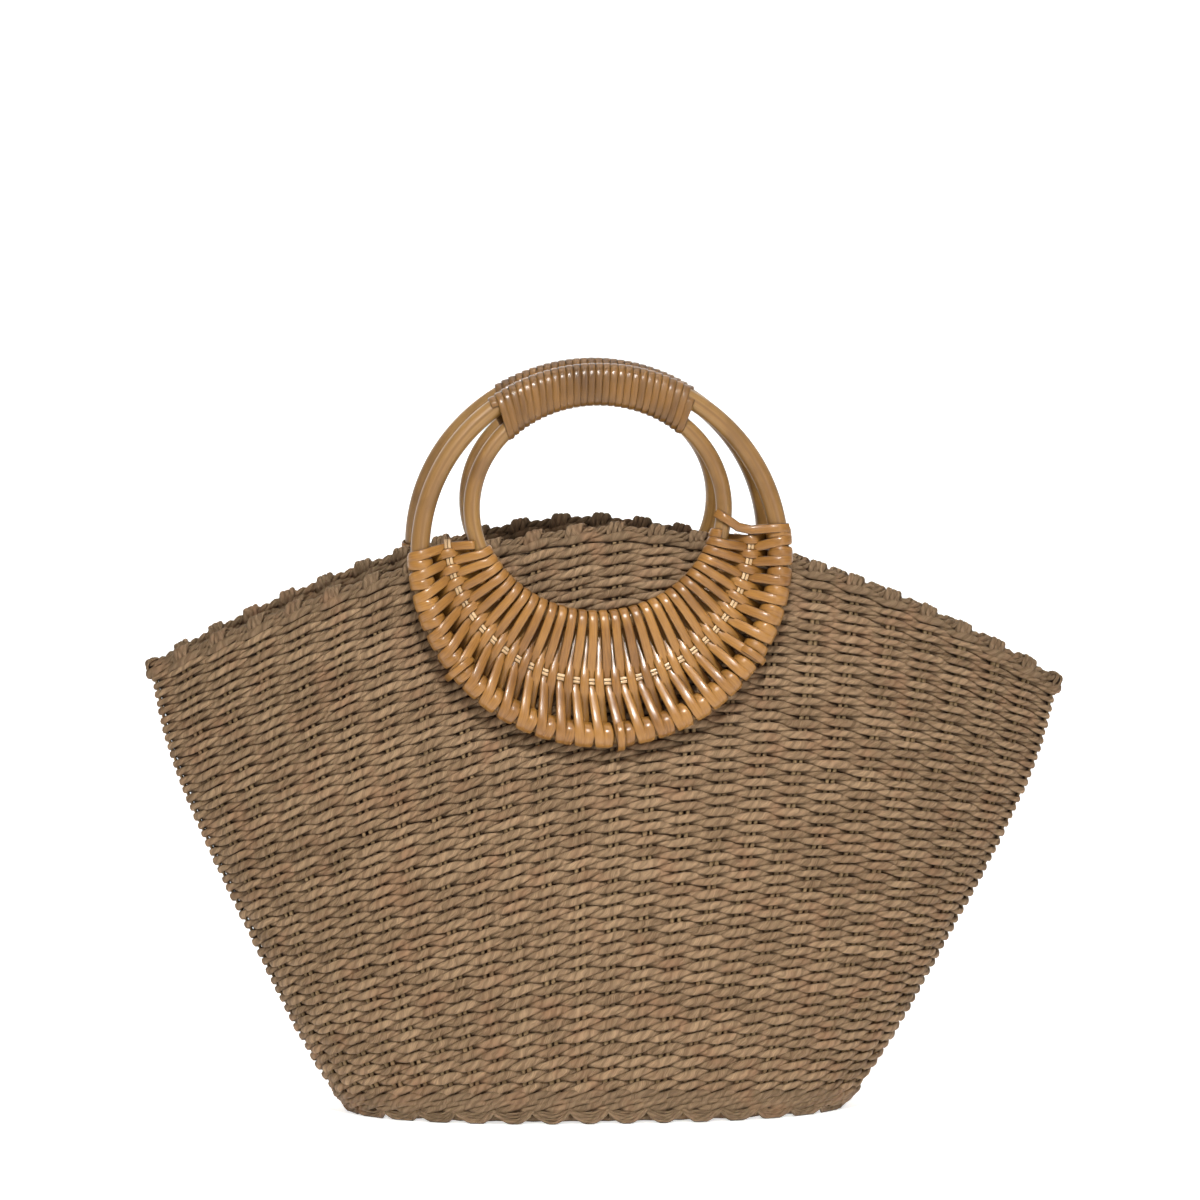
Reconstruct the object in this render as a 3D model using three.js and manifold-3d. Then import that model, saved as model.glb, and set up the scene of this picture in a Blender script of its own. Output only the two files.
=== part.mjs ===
// Straw basket bag: a fan-shaped tote twined from twisted paper-straw cord over radiating
// stakes, with an oval base and two round cane handles bound with rattan peel.
// Millimetres, +Z up, origin on the floor under the middle of the mouth, front towards -Y.
import * as THREE from 'three';
import { mergeVertices } from 'three/addons/utils/BufferGeometryUtils.js';
import Module from 'manifold-3d';

const wasm = await Module();
wasm.setup();

// Gap left between two pieces that touch on the real bag
const CLEARANCE = 0.3;

// Basket. The base stands a little to the left of the mouth by its shift, and the middle of the
// back panel leans to the left by its drift at the rim. The right corner is lower than the left
// one: each is off the corner height by the tilt.
const BASE_LENGTH = 227;
const BASE_DEPTH = 117;
const BASE_THICKNESS = 6;
const MOUTH_LENGTH = 428;
const MOUTH_DEPTH = 76;
const RIM_HEIGHT = 273;
const CORNER_HEIGHT = 204;
const CORNER_TILT = 5;
const BASE_SHIFT = 4.7;
const BACK_DRIFT = 7;
const WALL_THICKNESS = 6;
const STAKES = 48;
const FOOT_HEIGHT = 14;
const FOOT_THICKNESS = 9;
const RIM_BORDER_HEIGHT = 9;
const RIM_BORDER_THICKNESS = 8;

// Handle, seen in its own plane: the inner ring is an oval bound to the top of the outer one
const OUTER_RING_RADIUS = 82;
const OUTER_CANE_RADIUS = 4.25;
const INNER_RING_HALF_WIDTH = 57.5;
const INNER_RING_HALF_HEIGHT = 51.5;
const INNER_CANE_RADIUS = 3.75;
const RING_SPACING_AT_TOP = 9.5;
const PEEL_THICKNESS = 1.6;
const WEB_THICKNESS = 4.8;
const RIB_WIDTH = 6;
const RIB_THICKNESS = 1.8;
const RIB_SHARE = 0.53;
const RIB_OVERHANG = 3;
const CRESCENT_GAPS = 30;
const OUTER_GAP_WIDTH = 3.4;
const INNER_GAP_WIDTH = 2.6;
const GAP_MARGIN = 0.9;
const TIE_WIDTH = 3.6;
const TIE_THICKNESS = 1;
const TIE_GAPS = [6, 15, 23];

// Spans round the rings, in degrees from the bottom for the crescent and the top for the grip
const CRESCENT_OUTER_SPAN = 95;
const CRESCENT_INNER_SPAN = 74;
const GRIP_OUTER_SPAN = 33;
const GRIP_INNER_SPAN = 45;

// How the handles stand: height of the lowest point of the outer cane, lean towards the mouth,
// and the small turns and shifts of this hand-made bag
const HANDLE_BOTTOM_HEIGHT = 178;
const HANDLE_LEAN = 8;
const FRONT_HANDLE = { side: -1, roll: 2.2, shift: -7.4, lift: 0 };
const BACK_HANDLE = { side: 1, roll: 0, shift: 2.9, lift: -1 };

// Facets, and the samples and steps that follow the curves of the wall
const CANE_SIDES = 8;
const RING_STEPS = 28;
const ARC_STEPS = 14;
const WALL_ROWS = 7;
const TIE_ARC_STEPS = 4;
const PANEL_SAMPLES = 480;
const SEAT_SAMPLES = 60;
const SLOPE_STEP = 0.01;
const FACE_STEPS = 12;
const TIE_DEPTH_STEPS = 20;
const MERGE_DISTANCE = 1e-4;
const SAME_POINT = 1e-3;

// Horizontal sections of the basket, as shares. height: of the rim height. spread: from the
// base's half length to the mouth's. closing: from the base's half depth to the mouth's.
// fullness and fold: the powers in fold-shaped outline y = (1 - x ** fullness) ** fold.
const SECTIONS = [
  { height: 0.0, spread: 0.0, closing: 0.0, fullness: 2.5, fold: 0.5 },
  { height: 0.07, spread: 0.131, closing: -0.03, fullness: 2.47, fold: 0.51 },
  { height: 0.2, spread: 0.294, closing: -0.07, fullness: 2.4, fold: 0.53 },
  { height: 0.4, spread: 0.504, closing: -0.04, fullness: 2.4, fold: 0.6 },
  { height: 0.6, spread: 0.713, closing: 0.12, fullness: 2.6, fold: 0.7 },
  { height: 0.8, spread: 0.892, closing: 0.5, fullness: 2.9, fold: 0.8 },
  { height: 1.0, spread: 1.0, closing: 1.0, fullness: 3.0, fold: 0.85 },
];
const RIM_ARCH_POWER = 1.65;
const CORNER_TILT_POWER = 3;

// Edges of the two borders, as shares of their half thickness
const RIM_BORDER_ROOT = 0.8;
const RIM_BORDER_CROWN = 0.5;
const FOOT_BORDER_EDGE = 0.84;

const STRAW = { color: 0x8f745a, roughness: 0.85, metalness: 0 };
const CANE = { color: 0x99774f, roughness: 0.4, metalness: 0 };
const PEEL = { color: 0xb18253, roughness: 0.45, metalness: 0 };

const degrees = THREE.MathUtils.degToRad;
const mix = THREE.MathUtils.lerp;

// Closed body through rings of points that each hold the same number of points
function loft(rings, closed) {
  const sides = rings[0].length;
  const index = [];
  const steps = closed ? rings.length : rings.length - 1;
  for (let i = 0; i < steps; i += 1) {
    const here = i * sides;
    const next = ((i + 1) % rings.length) * sides;
    for (let j = 0; j < sides; j += 1) {
      const k = (j + 1) % sides;
      index.push(here + j, here + k, next + k, here + j, next + k, next + j);
    }
  }
  if (!closed) {
    const end = (rings.length - 1) * sides;
    for (let j = 1; j < sides - 1; j += 1) {
      index.push(0, j + 1, j);
      index.push(end, end + j, end + j + 1);
    }
  }
  const geometry = new THREE.BufferGeometry();
  const positions = rings.flat().flatMap((point) => [point.x, point.y, point.z]);
  geometry.setAttribute('position', new THREE.Float32BufferAttribute(positions, 3));
  geometry.setIndex(index);
  if (signedVolume(geometry) < 0) {
    geometry.setIndex(index.reverse());
  }
  return geometry;
}

function signedVolume(geometry) {
  const position = geometry.getAttribute('position');
  const index = geometry.getIndex();
  const corner = (i) => new THREE.Vector3().fromBufferAttribute(position, index.getX(i));
  let volume = 0;
  for (let i = 0; i < index.count; i += 3) {
    volume += corner(i).dot(corner(i + 1).cross(corner(i + 2))) / 6;
  }
  return volume;
}

function toSolid(geometry) {
  const bare = geometry.clone();
  bare.deleteAttribute('normal');
  bare.deleteAttribute('uv');
  const merged = mergeVertices(bare, MERGE_DISTANCE);
  const vertProperties = new Float32Array(merged.getAttribute('position').array);
  const triVerts = new Uint32Array(merged.getIndex().array);
  return new wasm.Manifold(new wasm.Mesh({ numProp: 3, vertProperties, triVerts }));
}

function toGeometry(solid) {
  const mesh = solid.getMesh();
  const geometry = new THREE.BufferGeometry();
  geometry.setAttribute('position', new THREE.BufferAttribute(mesh.vertProperties, 3));
  geometry.setIndex(new THREE.BufferAttribute(mesh.triVerts, 1));
  return geometry;
}

// Value of one column of SECTIONS at a share of the height, on a smooth curve through the rows
function sectionValue(name, share) {
  const last = SECTIONS.length - 1;
  let row = 0;
  while (row < last - 1 && SECTIONS[row + 1].height < share) row += 1;
  const value = (i) => SECTIONS[THREE.MathUtils.clamp(i, 0, last)][name];
  const height = (i) => SECTIONS[THREE.MathUtils.clamp(i, 0, last)].height;
  const slope = (i) => (value(i + 1) - value(i - 1)) / (height(i + 1) - height(i - 1));
  const run = height(row + 1) - height(row);
  const t = (share - height(row)) / run;
  const t2 = t * t;
  const t3 = t2 * t;
  return value(row) * (2 * t3 - 3 * t2 + 1) + value(row + 1) * (3 * t2 - 2 * t3)
    + run * (slope(row) * (t3 - 2 * t2 + t) + slope(row + 1) * (t3 - t2));
}

// Middle of the woven wall. along: -1 to 1 from corner to corner; side: -1 front, 1 back
function wallPoint(along, side, share) {
  const halfLength = mix(
    (BASE_LENGTH - FOOT_THICKNESS) / 2,
    (MOUTH_LENGTH - RIM_BORDER_THICKNESS) / 2,
    sectionValue('spread', share),
  );
  const halfDepth = mix(
    (BASE_DEPTH - FOOT_THICKNESS) / 2,
    (MOUTH_DEPTH - RIM_BORDER_THICKNESS) / 2,
    sectionValue('closing', share),
  );
  const reach = Math.min(1, Math.abs(along));
  const outline = (1 - reach ** sectionValue('fullness', share)) ** sectionValue('fold', share);
  const drift = side > 0 ? BACK_DRIFT * share * (1 - reach ** 2) : 0;
  return new THREE.Vector3(
    along * halfLength - BASE_SHIFT * (1 - share) - drift,
    side * halfDepth * outline,
    share * rimHeight(along),
  );
}

function rimHeight(along) {
  return RIM_HEIGHT - (RIM_HEIGHT - CORNER_HEIGHT) * Math.abs(along) ** RIM_ARCH_POWER
    - CORNER_TILT * along ** CORNER_TILT_POWER;
}

// Points evenly spaced along one panel at one share of the height, from right to left
function panelPoints(share, side) {
  const fine = [];
  for (let i = 0; i <= PANEL_SAMPLES; i += 1) {
    fine.push(wallPoint(Math.cos((Math.PI * i) / PANEL_SAMPLES), side, share));
  }
  const length = [0];
  for (let i = 1; i <= PANEL_SAMPLES; i += 1) {
    length.push(length[i - 1] + fine[i].distanceTo(fine[i - 1]));
  }
  const points = [];
  for (let k = 0, i = 0; k <= STAKES / 2; k += 1) {
    const target = (length[PANEL_SAMPLES] * k * 2) / STAKES;
    while (i < PANEL_SAMPLES - 1 && length[i + 1] < target) i += 1;
    const t = (target - length[i]) / (length[i + 1] - length[i]);
    points.push(fine[i].clone().lerp(fine[i + 1], t));
  }
  return points;
}

// One point a stake round the wall, from the right-hand corner along the front and home
const loops = new Map();
function wallLoop(share) {
  if (!loops.has(share)) {
    const back = panelPoints(share, 1).slice(1, -1).reverse();
    loops.set(share, [...panelPoints(share, -1), ...back]);
  }
  return loops.get(share);
}

// Point on the wall pushed out of its middle surface by an offset
function shellPoint(share, i, offset) {
  const loop = wallLoop(share);
  const low = Math.max(0, share - SLOPE_STEP);
  const high = Math.min(1, share + SLOPE_STEP);
  const up = wallLoop(high)[i].clone().sub(wallLoop(low)[i]);
  const round = loop[(i + 1) % STAKES].clone().sub(loop[(i + STAKES - 1) % STAKES]);
  const normal = up.cross(round).normalize();
  return loop[i].clone().addScaledVector(normal, offset);
}

const FOOT_SHARE = FOOT_HEIGHT / RIM_HEIGHT;
const GAP_SHARE = CLEARANCE / (CORNER_HEIGHT - CORNER_TILT);
const RIM_SHARE = 1 - RIM_BORDER_HEIGHT / RIM_HEIGHT;

function basketWall() {
  const bottom = FOOT_SHARE;
  const top = RIM_SHARE - GAP_SHARE;
  const columns = [];
  for (let i = 0; i < STAKES; i += 1) {
    const outside = [];
    const inside = [];
    for (let row = 0; row <= WALL_ROWS; row += 1) {
      const share = mix(bottom, top, row / WALL_ROWS);
      outside.push(shellPoint(share, i, WALL_THICKNESS / 2));
      inside.push(shellPoint(share, i, -WALL_THICKNESS / 2));
    }
    columns.push([...outside, ...inside.reverse()]);
  }
  return loft(columns, true);
}

// Rolled edge of folded stakes along the top of the wall
function rimBorder() {
  const half = RIM_BORDER_THICKNESS / 2;
  const middle = (RIM_SHARE + 1) / 2;
  const columns = [];
  for (let i = 0; i < STAKES; i += 1) {
    columns.push([
      shellPoint(RIM_SHARE, i, half * RIM_BORDER_ROOT),
      shellPoint(RIM_SHARE, i, -half * RIM_BORDER_ROOT),
      shellPoint(middle, i, -half),
      shellPoint(1, i, -half * RIM_BORDER_CROWN),
      shellPoint(1, i, half * RIM_BORDER_CROWN),
      shellPoint(middle, i, half),
    ]);
  }
  return loft(columns, true);
}

// Thick braid round the foot of the wall
function footBorder() {
  const half = FOOT_THICKNESS / 2;
  const edge = half * FOOT_BORDER_EDGE;
  const top = FOOT_SHARE - GAP_SHARE;
  const columns = [];
  for (let i = 0; i < STAKES; i += 1) {
    const outerEdge = shellPoint(0, i, edge).setZ(CLEARANCE);
    const innerEdge = shellPoint(0, i, -edge).setZ(CLEARANCE);
    columns.push([
      innerEdge,
      shellPoint(top / 2, i, -half),
      shellPoint(top, i, -edge),
      shellPoint(top, i, edge),
      shellPoint(top / 2, i, half),
      outerEdge,
    ]);
  }
  return loft(columns, true);
}

function basketBase() {
  const outline = [];
  for (let i = 0; i < STAKES; i += 1) {
    const edge = shellPoint(0, i, -FOOT_THICKNESS / 2 - CLEARANCE);
    outline.push(new THREE.Vector2(edge.x, edge.y));
  }
  return new THREE.ExtrudeGeometry(new THREE.Shape(outline), {
    depth: BASE_THICKNESS,
    bevelEnabled: false,
  });
}

// Rings of the handle: a turn of 0 degrees is the lowest point and +90 is to the right
const INNER_RING_RAISE = OUTER_RING_RADIUS - RING_SPACING_AT_TOP - INNER_RING_HALF_HEIGHT;

function outerPoint(turn) {
  return new THREE.Vector2(Math.sin(degrees(turn)), -Math.cos(degrees(turn)))
    .multiplyScalar(OUTER_RING_RADIUS);
}

function innerPoint(turn) {
  const x = INNER_RING_HALF_WIDTH * Math.sin(degrees(turn));
  const y = INNER_RING_RAISE - INNER_RING_HALF_HEIGHT * Math.cos(degrees(turn));
  return new THREE.Vector2(x, y);
}

// Round rod along a path in the plane of the handle
function rod(path, radius, sides, closed) {
  const count = path.length;
  const rings = path.map((point, i) => {
    const before = path[closed ? (i + count - 1) % count : Math.max(0, i - 1)];
    const after = path[closed ? (i + 1) % count : Math.min(count - 1, i + 1)];
    const along = after.clone().sub(before).normalize();
    const ring = [];
    for (let j = 0; j < sides; j += 1) {
      const angle = (2 * Math.PI * (j + 0.5)) / sides;
      const reach = radius * Math.cos(angle);
      ring.push(new THREE.Vector3(
        point.x + along.y * reach,
        point.y - along.x * reach,
        radius * Math.sin(angle),
      ));
    }
    return ring;
  });
  return loft(rings, closed);
}

function turnsBetween(from, to, steps) {
  return Array.from({ length: steps + 1 }, (_, i) => mix(from, to, i / steps));
}

function wholeRing(pointAt) {
  return turnsBetween(0, 360, RING_STEPS).slice(0, -1).map(pointAt);
}

// Radius of a faceted rod whose flats lie on the given radius
function aroundFlats(radius, sides) {
  return radius / Math.cos(Math.PI / sides);
}

const CANE_TUNNELS = [
  [outerPoint, OUTER_CANE_RADIUS + CLEARANCE],
  [innerPoint, INNER_CANE_RADIUS + CLEARANCE],
];

function cutCanes(solid) {
  return CANE_TUNNELS.reduce((rest, [pointAt, radius]) => (
    rest.subtract(toSolid(rod(wholeRing(pointAt), aroundFlats(radius, CANE_SIDES), CANE_SIDES, true)))
  ), solid);
}

// Flat strip in the plane of the handle, from a row of points on each of its edges
function strip(edge, otherEdge, thickness) {
  const outline = [...edge, ...otherEdge.slice().reverse()];
  const geometry = new THREE.ExtrudeGeometry(new THREE.Shape(outline), {
    depth: thickness,
    bevelEnabled: false,
  });
  return geometry.translate(0, 0, -thickness / 2);
}

// One place along the crescent: where a line from ring to ring starts, ends and crosses the rib
function crescentLine(share) {
  const inner = innerPoint(mix(-CRESCENT_INNER_SPAN, CRESCENT_INNER_SPAN, share));
  const outer = outerPoint(mix(-CRESCENT_OUTER_SPAN, CRESCENT_OUTER_SPAN, share));
  const out = outer.clone().sub(inner).normalize();
  return { inner, outer, out, across: new THREE.Vector2(-out.y, out.x) };
}

function ribEdges(halfWidth, overhang) {
  const edges = [[], []];
  for (let i = 0; i <= ARC_STEPS; i += 1) {
    const line = crescentLine(i / ARC_STEPS);
    const middle = line.inner.clone().lerp(line.outer, RIB_SHARE);
    const end = (i === ARC_STEPS ? 1 : 0) - (i === 0 ? 1 : 0);
    middle.addScaledVector(line.across, end * overhang);
    edges[0].push(middle.clone().addScaledVector(line.out, -halfWidth));
    edges[1].push(middle.clone().addScaledVector(line.out, halfWidth));
  }
  return edges;
}

function rib() {
  const [inside, outside] = ribEdges(RIB_WIDTH / 2, RIB_OVERHANG);
  return strip(inside, outside, RIB_THICKNESS);
}

// Slot through the web between two strands of peel: wide by the cane, narrow by the rib
function gapPrism(line, start, end, width) {
  const point = (share, shift) => line.inner.clone().lerp(line.outer, share)
    .addScaledVector(line.across, shift);
  const outline = [point(start, width / 2), point(start, -width / 2), point(end, 0)];
  if (start > end) outline.reverse();
  const depth = 2 * WEB_THICKNESS;
  const prism = new THREE.ExtrudeGeometry(new THREE.Shape(outline), { depth, bevelEnabled: false });
  return prism.translate(0, 0, -depth / 2);
}

// Woven peel on the lower half of the handle: sleeves round both canes and a pierced web
// between them, with a slot for the rib
function crescentWeave() {
  const outerArc = turnsBetween(-CRESCENT_OUTER_SPAN, CRESCENT_OUTER_SPAN, ARC_STEPS).map(outerPoint);
  const innerArc = turnsBetween(-CRESCENT_INNER_SPAN, CRESCENT_INNER_SPAN, ARC_STEPS).map(innerPoint);
  const outerSleeve = OUTER_CANE_RADIUS + CLEARANCE + PEEL_THICKNESS;
  const innerSleeve = INNER_CANE_RADIUS + CLEARANCE + PEEL_THICKNESS;
  let solid = toSolid(rod(outerArc, aroundFlats(outerSleeve, CANE_SIDES), CANE_SIDES, false))
    .add(toSolid(rod(innerArc, aroundFlats(innerSleeve, CANE_SIDES), CANE_SIDES, false)))
    .add(toSolid(strip(innerArc, outerArc, WEB_THICKNESS)));
  solid = cutCanes(solid);
  const [inside, outside] = ribEdges(RIB_WIDTH / 2 + CLEARANCE, RIB_OVERHANG + CLEARANCE);
  solid = solid.subtract(toSolid(strip(inside, outside, RIB_THICKNESS + 2 * CLEARANCE)));
  for (let gap = 0; gap < CRESCENT_GAPS; gap += 1) {
    const line = crescentLine((gap + 0.5) / CRESCENT_GAPS);
    const width = line.inner.distanceTo(line.outer);
    const ribHalf = (RIB_WIDTH / 2 + GAP_MARGIN) / width;
    const innerStart = (innerSleeve + GAP_MARGIN) / width;
    const outerStart = 1 - (outerSleeve + GAP_MARGIN) / width;
    solid = solid
      .subtract(toSolid(gapPrism(line, innerStart, RIB_SHARE - ribHalf, INNER_GAP_WIDTH)))
      .subtract(toSolid(gapPrism(line, outerStart, RIB_SHARE + ribHalf, OUTER_GAP_WIDTH)));
  }
  return solid;
}

// Peel wound round both canes at the top, a flattened oval in section
function gripWrap() {
  const outerHalf = OUTER_CANE_RADIUS + CLEARANCE + PEEL_THICKNESS;
  const innerHalf = INNER_CANE_RADIUS + CLEARANCE + PEEL_THICKNESS;
  const rings = turnsBetween(-1, 1, ARC_STEPS / 2).map((t) => {
    const inner = innerPoint(180 - t * GRIP_INNER_SPAN);
    const outer = outerPoint(180 - t * GRIP_OUTER_SPAN);
    const out = outer.clone().sub(inner).normalize();
    const corner = (from, along, height) => {
      const point = from.clone().addScaledVector(out, along);
      return new THREE.Vector3(point.x, point.y, height);
    };
    const ring = [];
    for (const angle of [-67.5, -22.5, 22.5, 67.5]) {
      const reach = aroundFlats(outerHalf, 8);
      ring.push(corner(outer, reach * Math.cos(degrees(angle)), reach * Math.sin(degrees(angle))));
    }
    for (const angle of [112.5, 157.5, 202.5, 247.5]) {
      const reach = aroundFlats(innerHalf, 8);
      ring.push(corner(inner, reach * Math.cos(degrees(angle)), reach * Math.sin(degrees(angle))));
    }
    return ring;
  });
  return cutCanes(toSolid(loft(rings, false)));
}

// Distance of a panel's face from the middle of the bag, at a point given as its handle sees
// it: x to the right of a viewer who faces that panel, and z up
function faceDistance(x, z, side, offset) {
  let share = z / RIM_HEIGHT;
  let along = 0;
  for (let i = 0; i < FACE_STEPS; i += 1) {
    const middle = wallPoint(along, side, share);
    const step = (-side * x - middle.x) / wallPoint(1, side, share).x;
    along = THREE.MathUtils.clamp(along + step, -1, 1);
    share = Math.min(1, z / rimHeight(along));
  }
  const above = wallPoint(along, side, Math.min(1, share + SLOPE_STEP));
  const below = wallPoint(along, side, Math.max(0, share - SLOPE_STEP));
  const slope = (above.y - below.y) / (above.z - below.z);
  return Math.abs(wallPoint(along, side, share).y) + offset * Math.hypot(1, slope);
}

// Frame of a handle standing on the front of the basket, before the back one is turned round
function handleMatrix(place, standOff) {
  const lean = degrees(HANDLE_LEAN);
  const middle = new THREE.Vector3(
    place.shift,
    -standOff,
    HANDLE_BOTTOM_HEIGHT + place.lift + OUTER_RING_RADIUS * Math.cos(lean),
  );
  const turn = new THREE.Quaternion()
    .setFromEuler(new THREE.Euler(Math.PI / 2 - lean, 0, 0))
    .multiply(new THREE.Quaternion().setFromEuler(new THREE.Euler(0, 0, degrees(place.roll))));
  return new THREE.Matrix4().compose(middle, turn, new THREE.Vector3(1, 1, 1));
}

// Smallest stand-off at which the back of the crescent clears the wall and the rim
function seatHandle(place) {
  const back = OUTER_CANE_RADIUS + CLEARANCE + PEEL_THICKNESS;
  const free = handleMatrix(place, 0);
  let standOff = 0;
  for (const [pointAt, span] of [[outerPoint, CRESCENT_OUTER_SPAN], [innerPoint, 180]]) {
    for (const turn of turnsBetween(-span, span, SEAT_SAMPLES)) {
      const flat = pointAt(turn);
      const point = new THREE.Vector3(flat.x, flat.y, -back).applyMatrix4(free);
      if (point.z < RIM_HEIGHT) {
        const face = faceDistance(point.x, point.z, place.side, RIM_BORDER_THICKNESS / 2);
        standOff = Math.max(standOff, point.y + face);
      }
    }
  }
  return handleMatrix(place, standOff + CLEARANCE);
}

// Outline of a band of peel that goes round the outer cane and through the wall behind it
function tieOutline(reach, depth) {
  const path = new THREE.Path();
  path.absarc(0, 0, reach, 0, Math.PI, false);
  path.absarc(0, -depth, reach, Math.PI, 2 * Math.PI, false);
  const corners = path.getPoints(TIE_ARC_STEPS);
  return corners.filter((p, i) => p.distanceTo(corners[(i + 1) % corners.length]) > SAME_POINT);
}

// Band round the outer cane at one gap of the crescent, in the frame of its handle, with
// some room added to its section when it serves as a cutter
function tieBand(matrix, side, gap, room) {
  const line = crescentLine((gap + 0.5) / CRESCENT_GAPS);
  const sleeve = aroundFlats(OUTER_CANE_RADIUS + CLEARANCE + PEEL_THICKNESS, CANE_SIDES);
  const inside = aroundFlats(sleeve + CLEARANCE, 2 * TIE_ARC_STEPS);
  let depth = 0;
  for (let i = 0; i < TIE_DEPTH_STEPS; i += 1) {
    const point = new THREE.Vector3(line.outer.x, line.outer.y, -depth).applyMatrix4(matrix);
    depth -= faceDistance(point.x, point.z, side, -WALL_THICKNESS / 2) + point.y;
  }
  const shape = new THREE.Shape(tieOutline(inside + TIE_THICKNESS + room, depth));
  shape.holes.push(new THREE.Path(tieOutline(inside - room, depth)));
  const width = TIE_WIDTH + 2 * room;
  const geometry = new THREE.ExtrudeGeometry(shape, { depth: width, bevelEnabled: false });
  geometry.translate(0, 0, -width / 2);
  const out = new THREE.Vector3(line.out.x, line.out.y, 0);
  const front = new THREE.Vector3(0, 0, 1);
  const basis = new THREE.Matrix4().makeBasis(out, front, out.clone().cross(front));
  basis.setPosition(line.outer.x, line.outer.y, 0);
  return geometry.applyMatrix4(basis);
}

function piece(name, geometry, finish) {
  const mesh = new THREE.Mesh(geometry, new THREE.MeshStandardMaterial(finish));
  mesh.name = name;
  return mesh;
}

const bag = new THREE.Group();
let wall = toSolid(basketWall());

const handles = [
  { name: 'front', place: FRONT_HANDLE, turn: new THREE.Matrix4() },
  { name: 'back', place: BACK_HANDLE, turn: new THREE.Matrix4().makeRotationZ(Math.PI) },
];

for (const { name, place, turn } of handles) {
  const seat = seatHandle(place);
  const matrix = turn.clone().multiply(seat);
  const frame = new THREE.Group();
  frame.applyMatrix4(matrix);
  const outerRing = rod(wholeRing(outerPoint), OUTER_CANE_RADIUS, CANE_SIDES, true);
  const innerRing = rod(wholeRing(innerPoint), INNER_CANE_RADIUS, CANE_SIDES, true);
  let crescent = crescentWeave();
  frame.add(piece(`${name}_outer_ring`, outerRing, CANE));
  frame.add(piece(`${name}_inner_ring`, innerRing, CANE));
  frame.add(piece(`${name}_rib`, rib(), PEEL));
  frame.add(piece(`${name}_grip_wrap`, toGeometry(gripWrap()), PEEL));
  for (const [i, gap] of TIE_GAPS.entries()) {
    frame.add(piece(`${name}_tie_${i + 1}`, tieBand(seat, place.side, gap, 0), PEEL));
    const room = tieBand(seat, place.side, gap, CLEARANCE);
    crescent = crescent.subtract(toSolid(room));
    wall = wall.subtract(toSolid(room.clone().applyMatrix4(matrix)));
  }
  frame.add(piece(`${name}_crescent_weave`, toGeometry(crescent), PEEL));
  bag.add(frame);
}

bag.add(piece('basket_base', basketBase(), STRAW));
bag.add(piece('basket_wall', toGeometry(wall), STRAW));
bag.add(piece('foot_border', footBorder(), STRAW));
bag.add(piece('rim_border', rimBorder(), STRAW));

export default bag;
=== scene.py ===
"""Straw basket bag: its woven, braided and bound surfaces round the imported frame.

The basket is twined from twisted paper-straw cord over radiating pairs of stakes. Its two round
handles are rattan cane bound with split rattan peel. Lengths are metres in the frame's own
axes: +Z up, the front towards -Y. Turns and spans are degrees.
"""

import logging
import math
from dataclasses import dataclass
from enum import Enum

import bpy
import numpy as np
from mathutils import Matrix, Vector


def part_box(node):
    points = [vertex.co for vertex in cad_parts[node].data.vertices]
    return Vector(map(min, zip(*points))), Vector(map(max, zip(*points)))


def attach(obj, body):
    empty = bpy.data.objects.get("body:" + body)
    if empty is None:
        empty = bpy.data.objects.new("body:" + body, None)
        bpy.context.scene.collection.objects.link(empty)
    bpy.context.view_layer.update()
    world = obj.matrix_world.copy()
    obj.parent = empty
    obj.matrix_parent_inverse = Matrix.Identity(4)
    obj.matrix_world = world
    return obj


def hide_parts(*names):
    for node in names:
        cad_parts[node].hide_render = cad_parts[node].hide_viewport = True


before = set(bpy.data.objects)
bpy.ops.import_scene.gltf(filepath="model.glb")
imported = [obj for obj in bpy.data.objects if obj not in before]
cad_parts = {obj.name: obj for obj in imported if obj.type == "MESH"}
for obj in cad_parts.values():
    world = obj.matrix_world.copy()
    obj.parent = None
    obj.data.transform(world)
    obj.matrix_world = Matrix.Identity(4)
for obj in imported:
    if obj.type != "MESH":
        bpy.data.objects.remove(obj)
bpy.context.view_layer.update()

MM = 0.001
BODY = "root"
STRAND_MAP = "strand"
TONE = "tone"
Array = np.ndarray


def mix(start: float | Array, end: float | Array, share: float | Array) -> float | Array:
    """Goes from start to end as share goes from 0 to 1."""
    return start + (end - start) * share


def smooth(share: float | Array) -> float | Array:
    """Eases a share from 0 to 1 with level ends."""
    return share * share * (3 - 2 * share)


def unit(vectors: Array) -> Array:
    """Scales vectors to a length of 1."""
    return vectors / np.maximum(np.linalg.norm(vectors, axis=-1, keepdims=True), 1e-12)


def directions(paths: Array, closed: bool) -> Array:
    """Finds which way each point of some paths is heading.

    Args:
        paths: Points, with the last two axes running along a path and over x, y and z.
        closed: Whether each path's last point comes before its first.

    Returns:
        Unit vectors, one a point.
    """
    if closed:
        return unit(np.roll(paths, -1, axis=-2) - np.roll(paths, 1, axis=-2))
    return unit(np.gradient(paths, axis=-2))


def linear(colour: str) -> tuple[float, float, float, float]:
    """Turns an sRGB hex colour into the linear one that shaders take.

    Args:
        colour: Six hex digits after a #.

    Returns:
        Red, green, blue and an alpha of 1.
    """
    shares = [int(colour[i : i + 2], 16) / 255 for i in (1, 3, 5)]
    light = [s / 12.92 if s <= 0.04045 else ((s + 0.055) / 1.055) ** 2.4 for s in shares]
    return (*light, 1.0)


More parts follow.
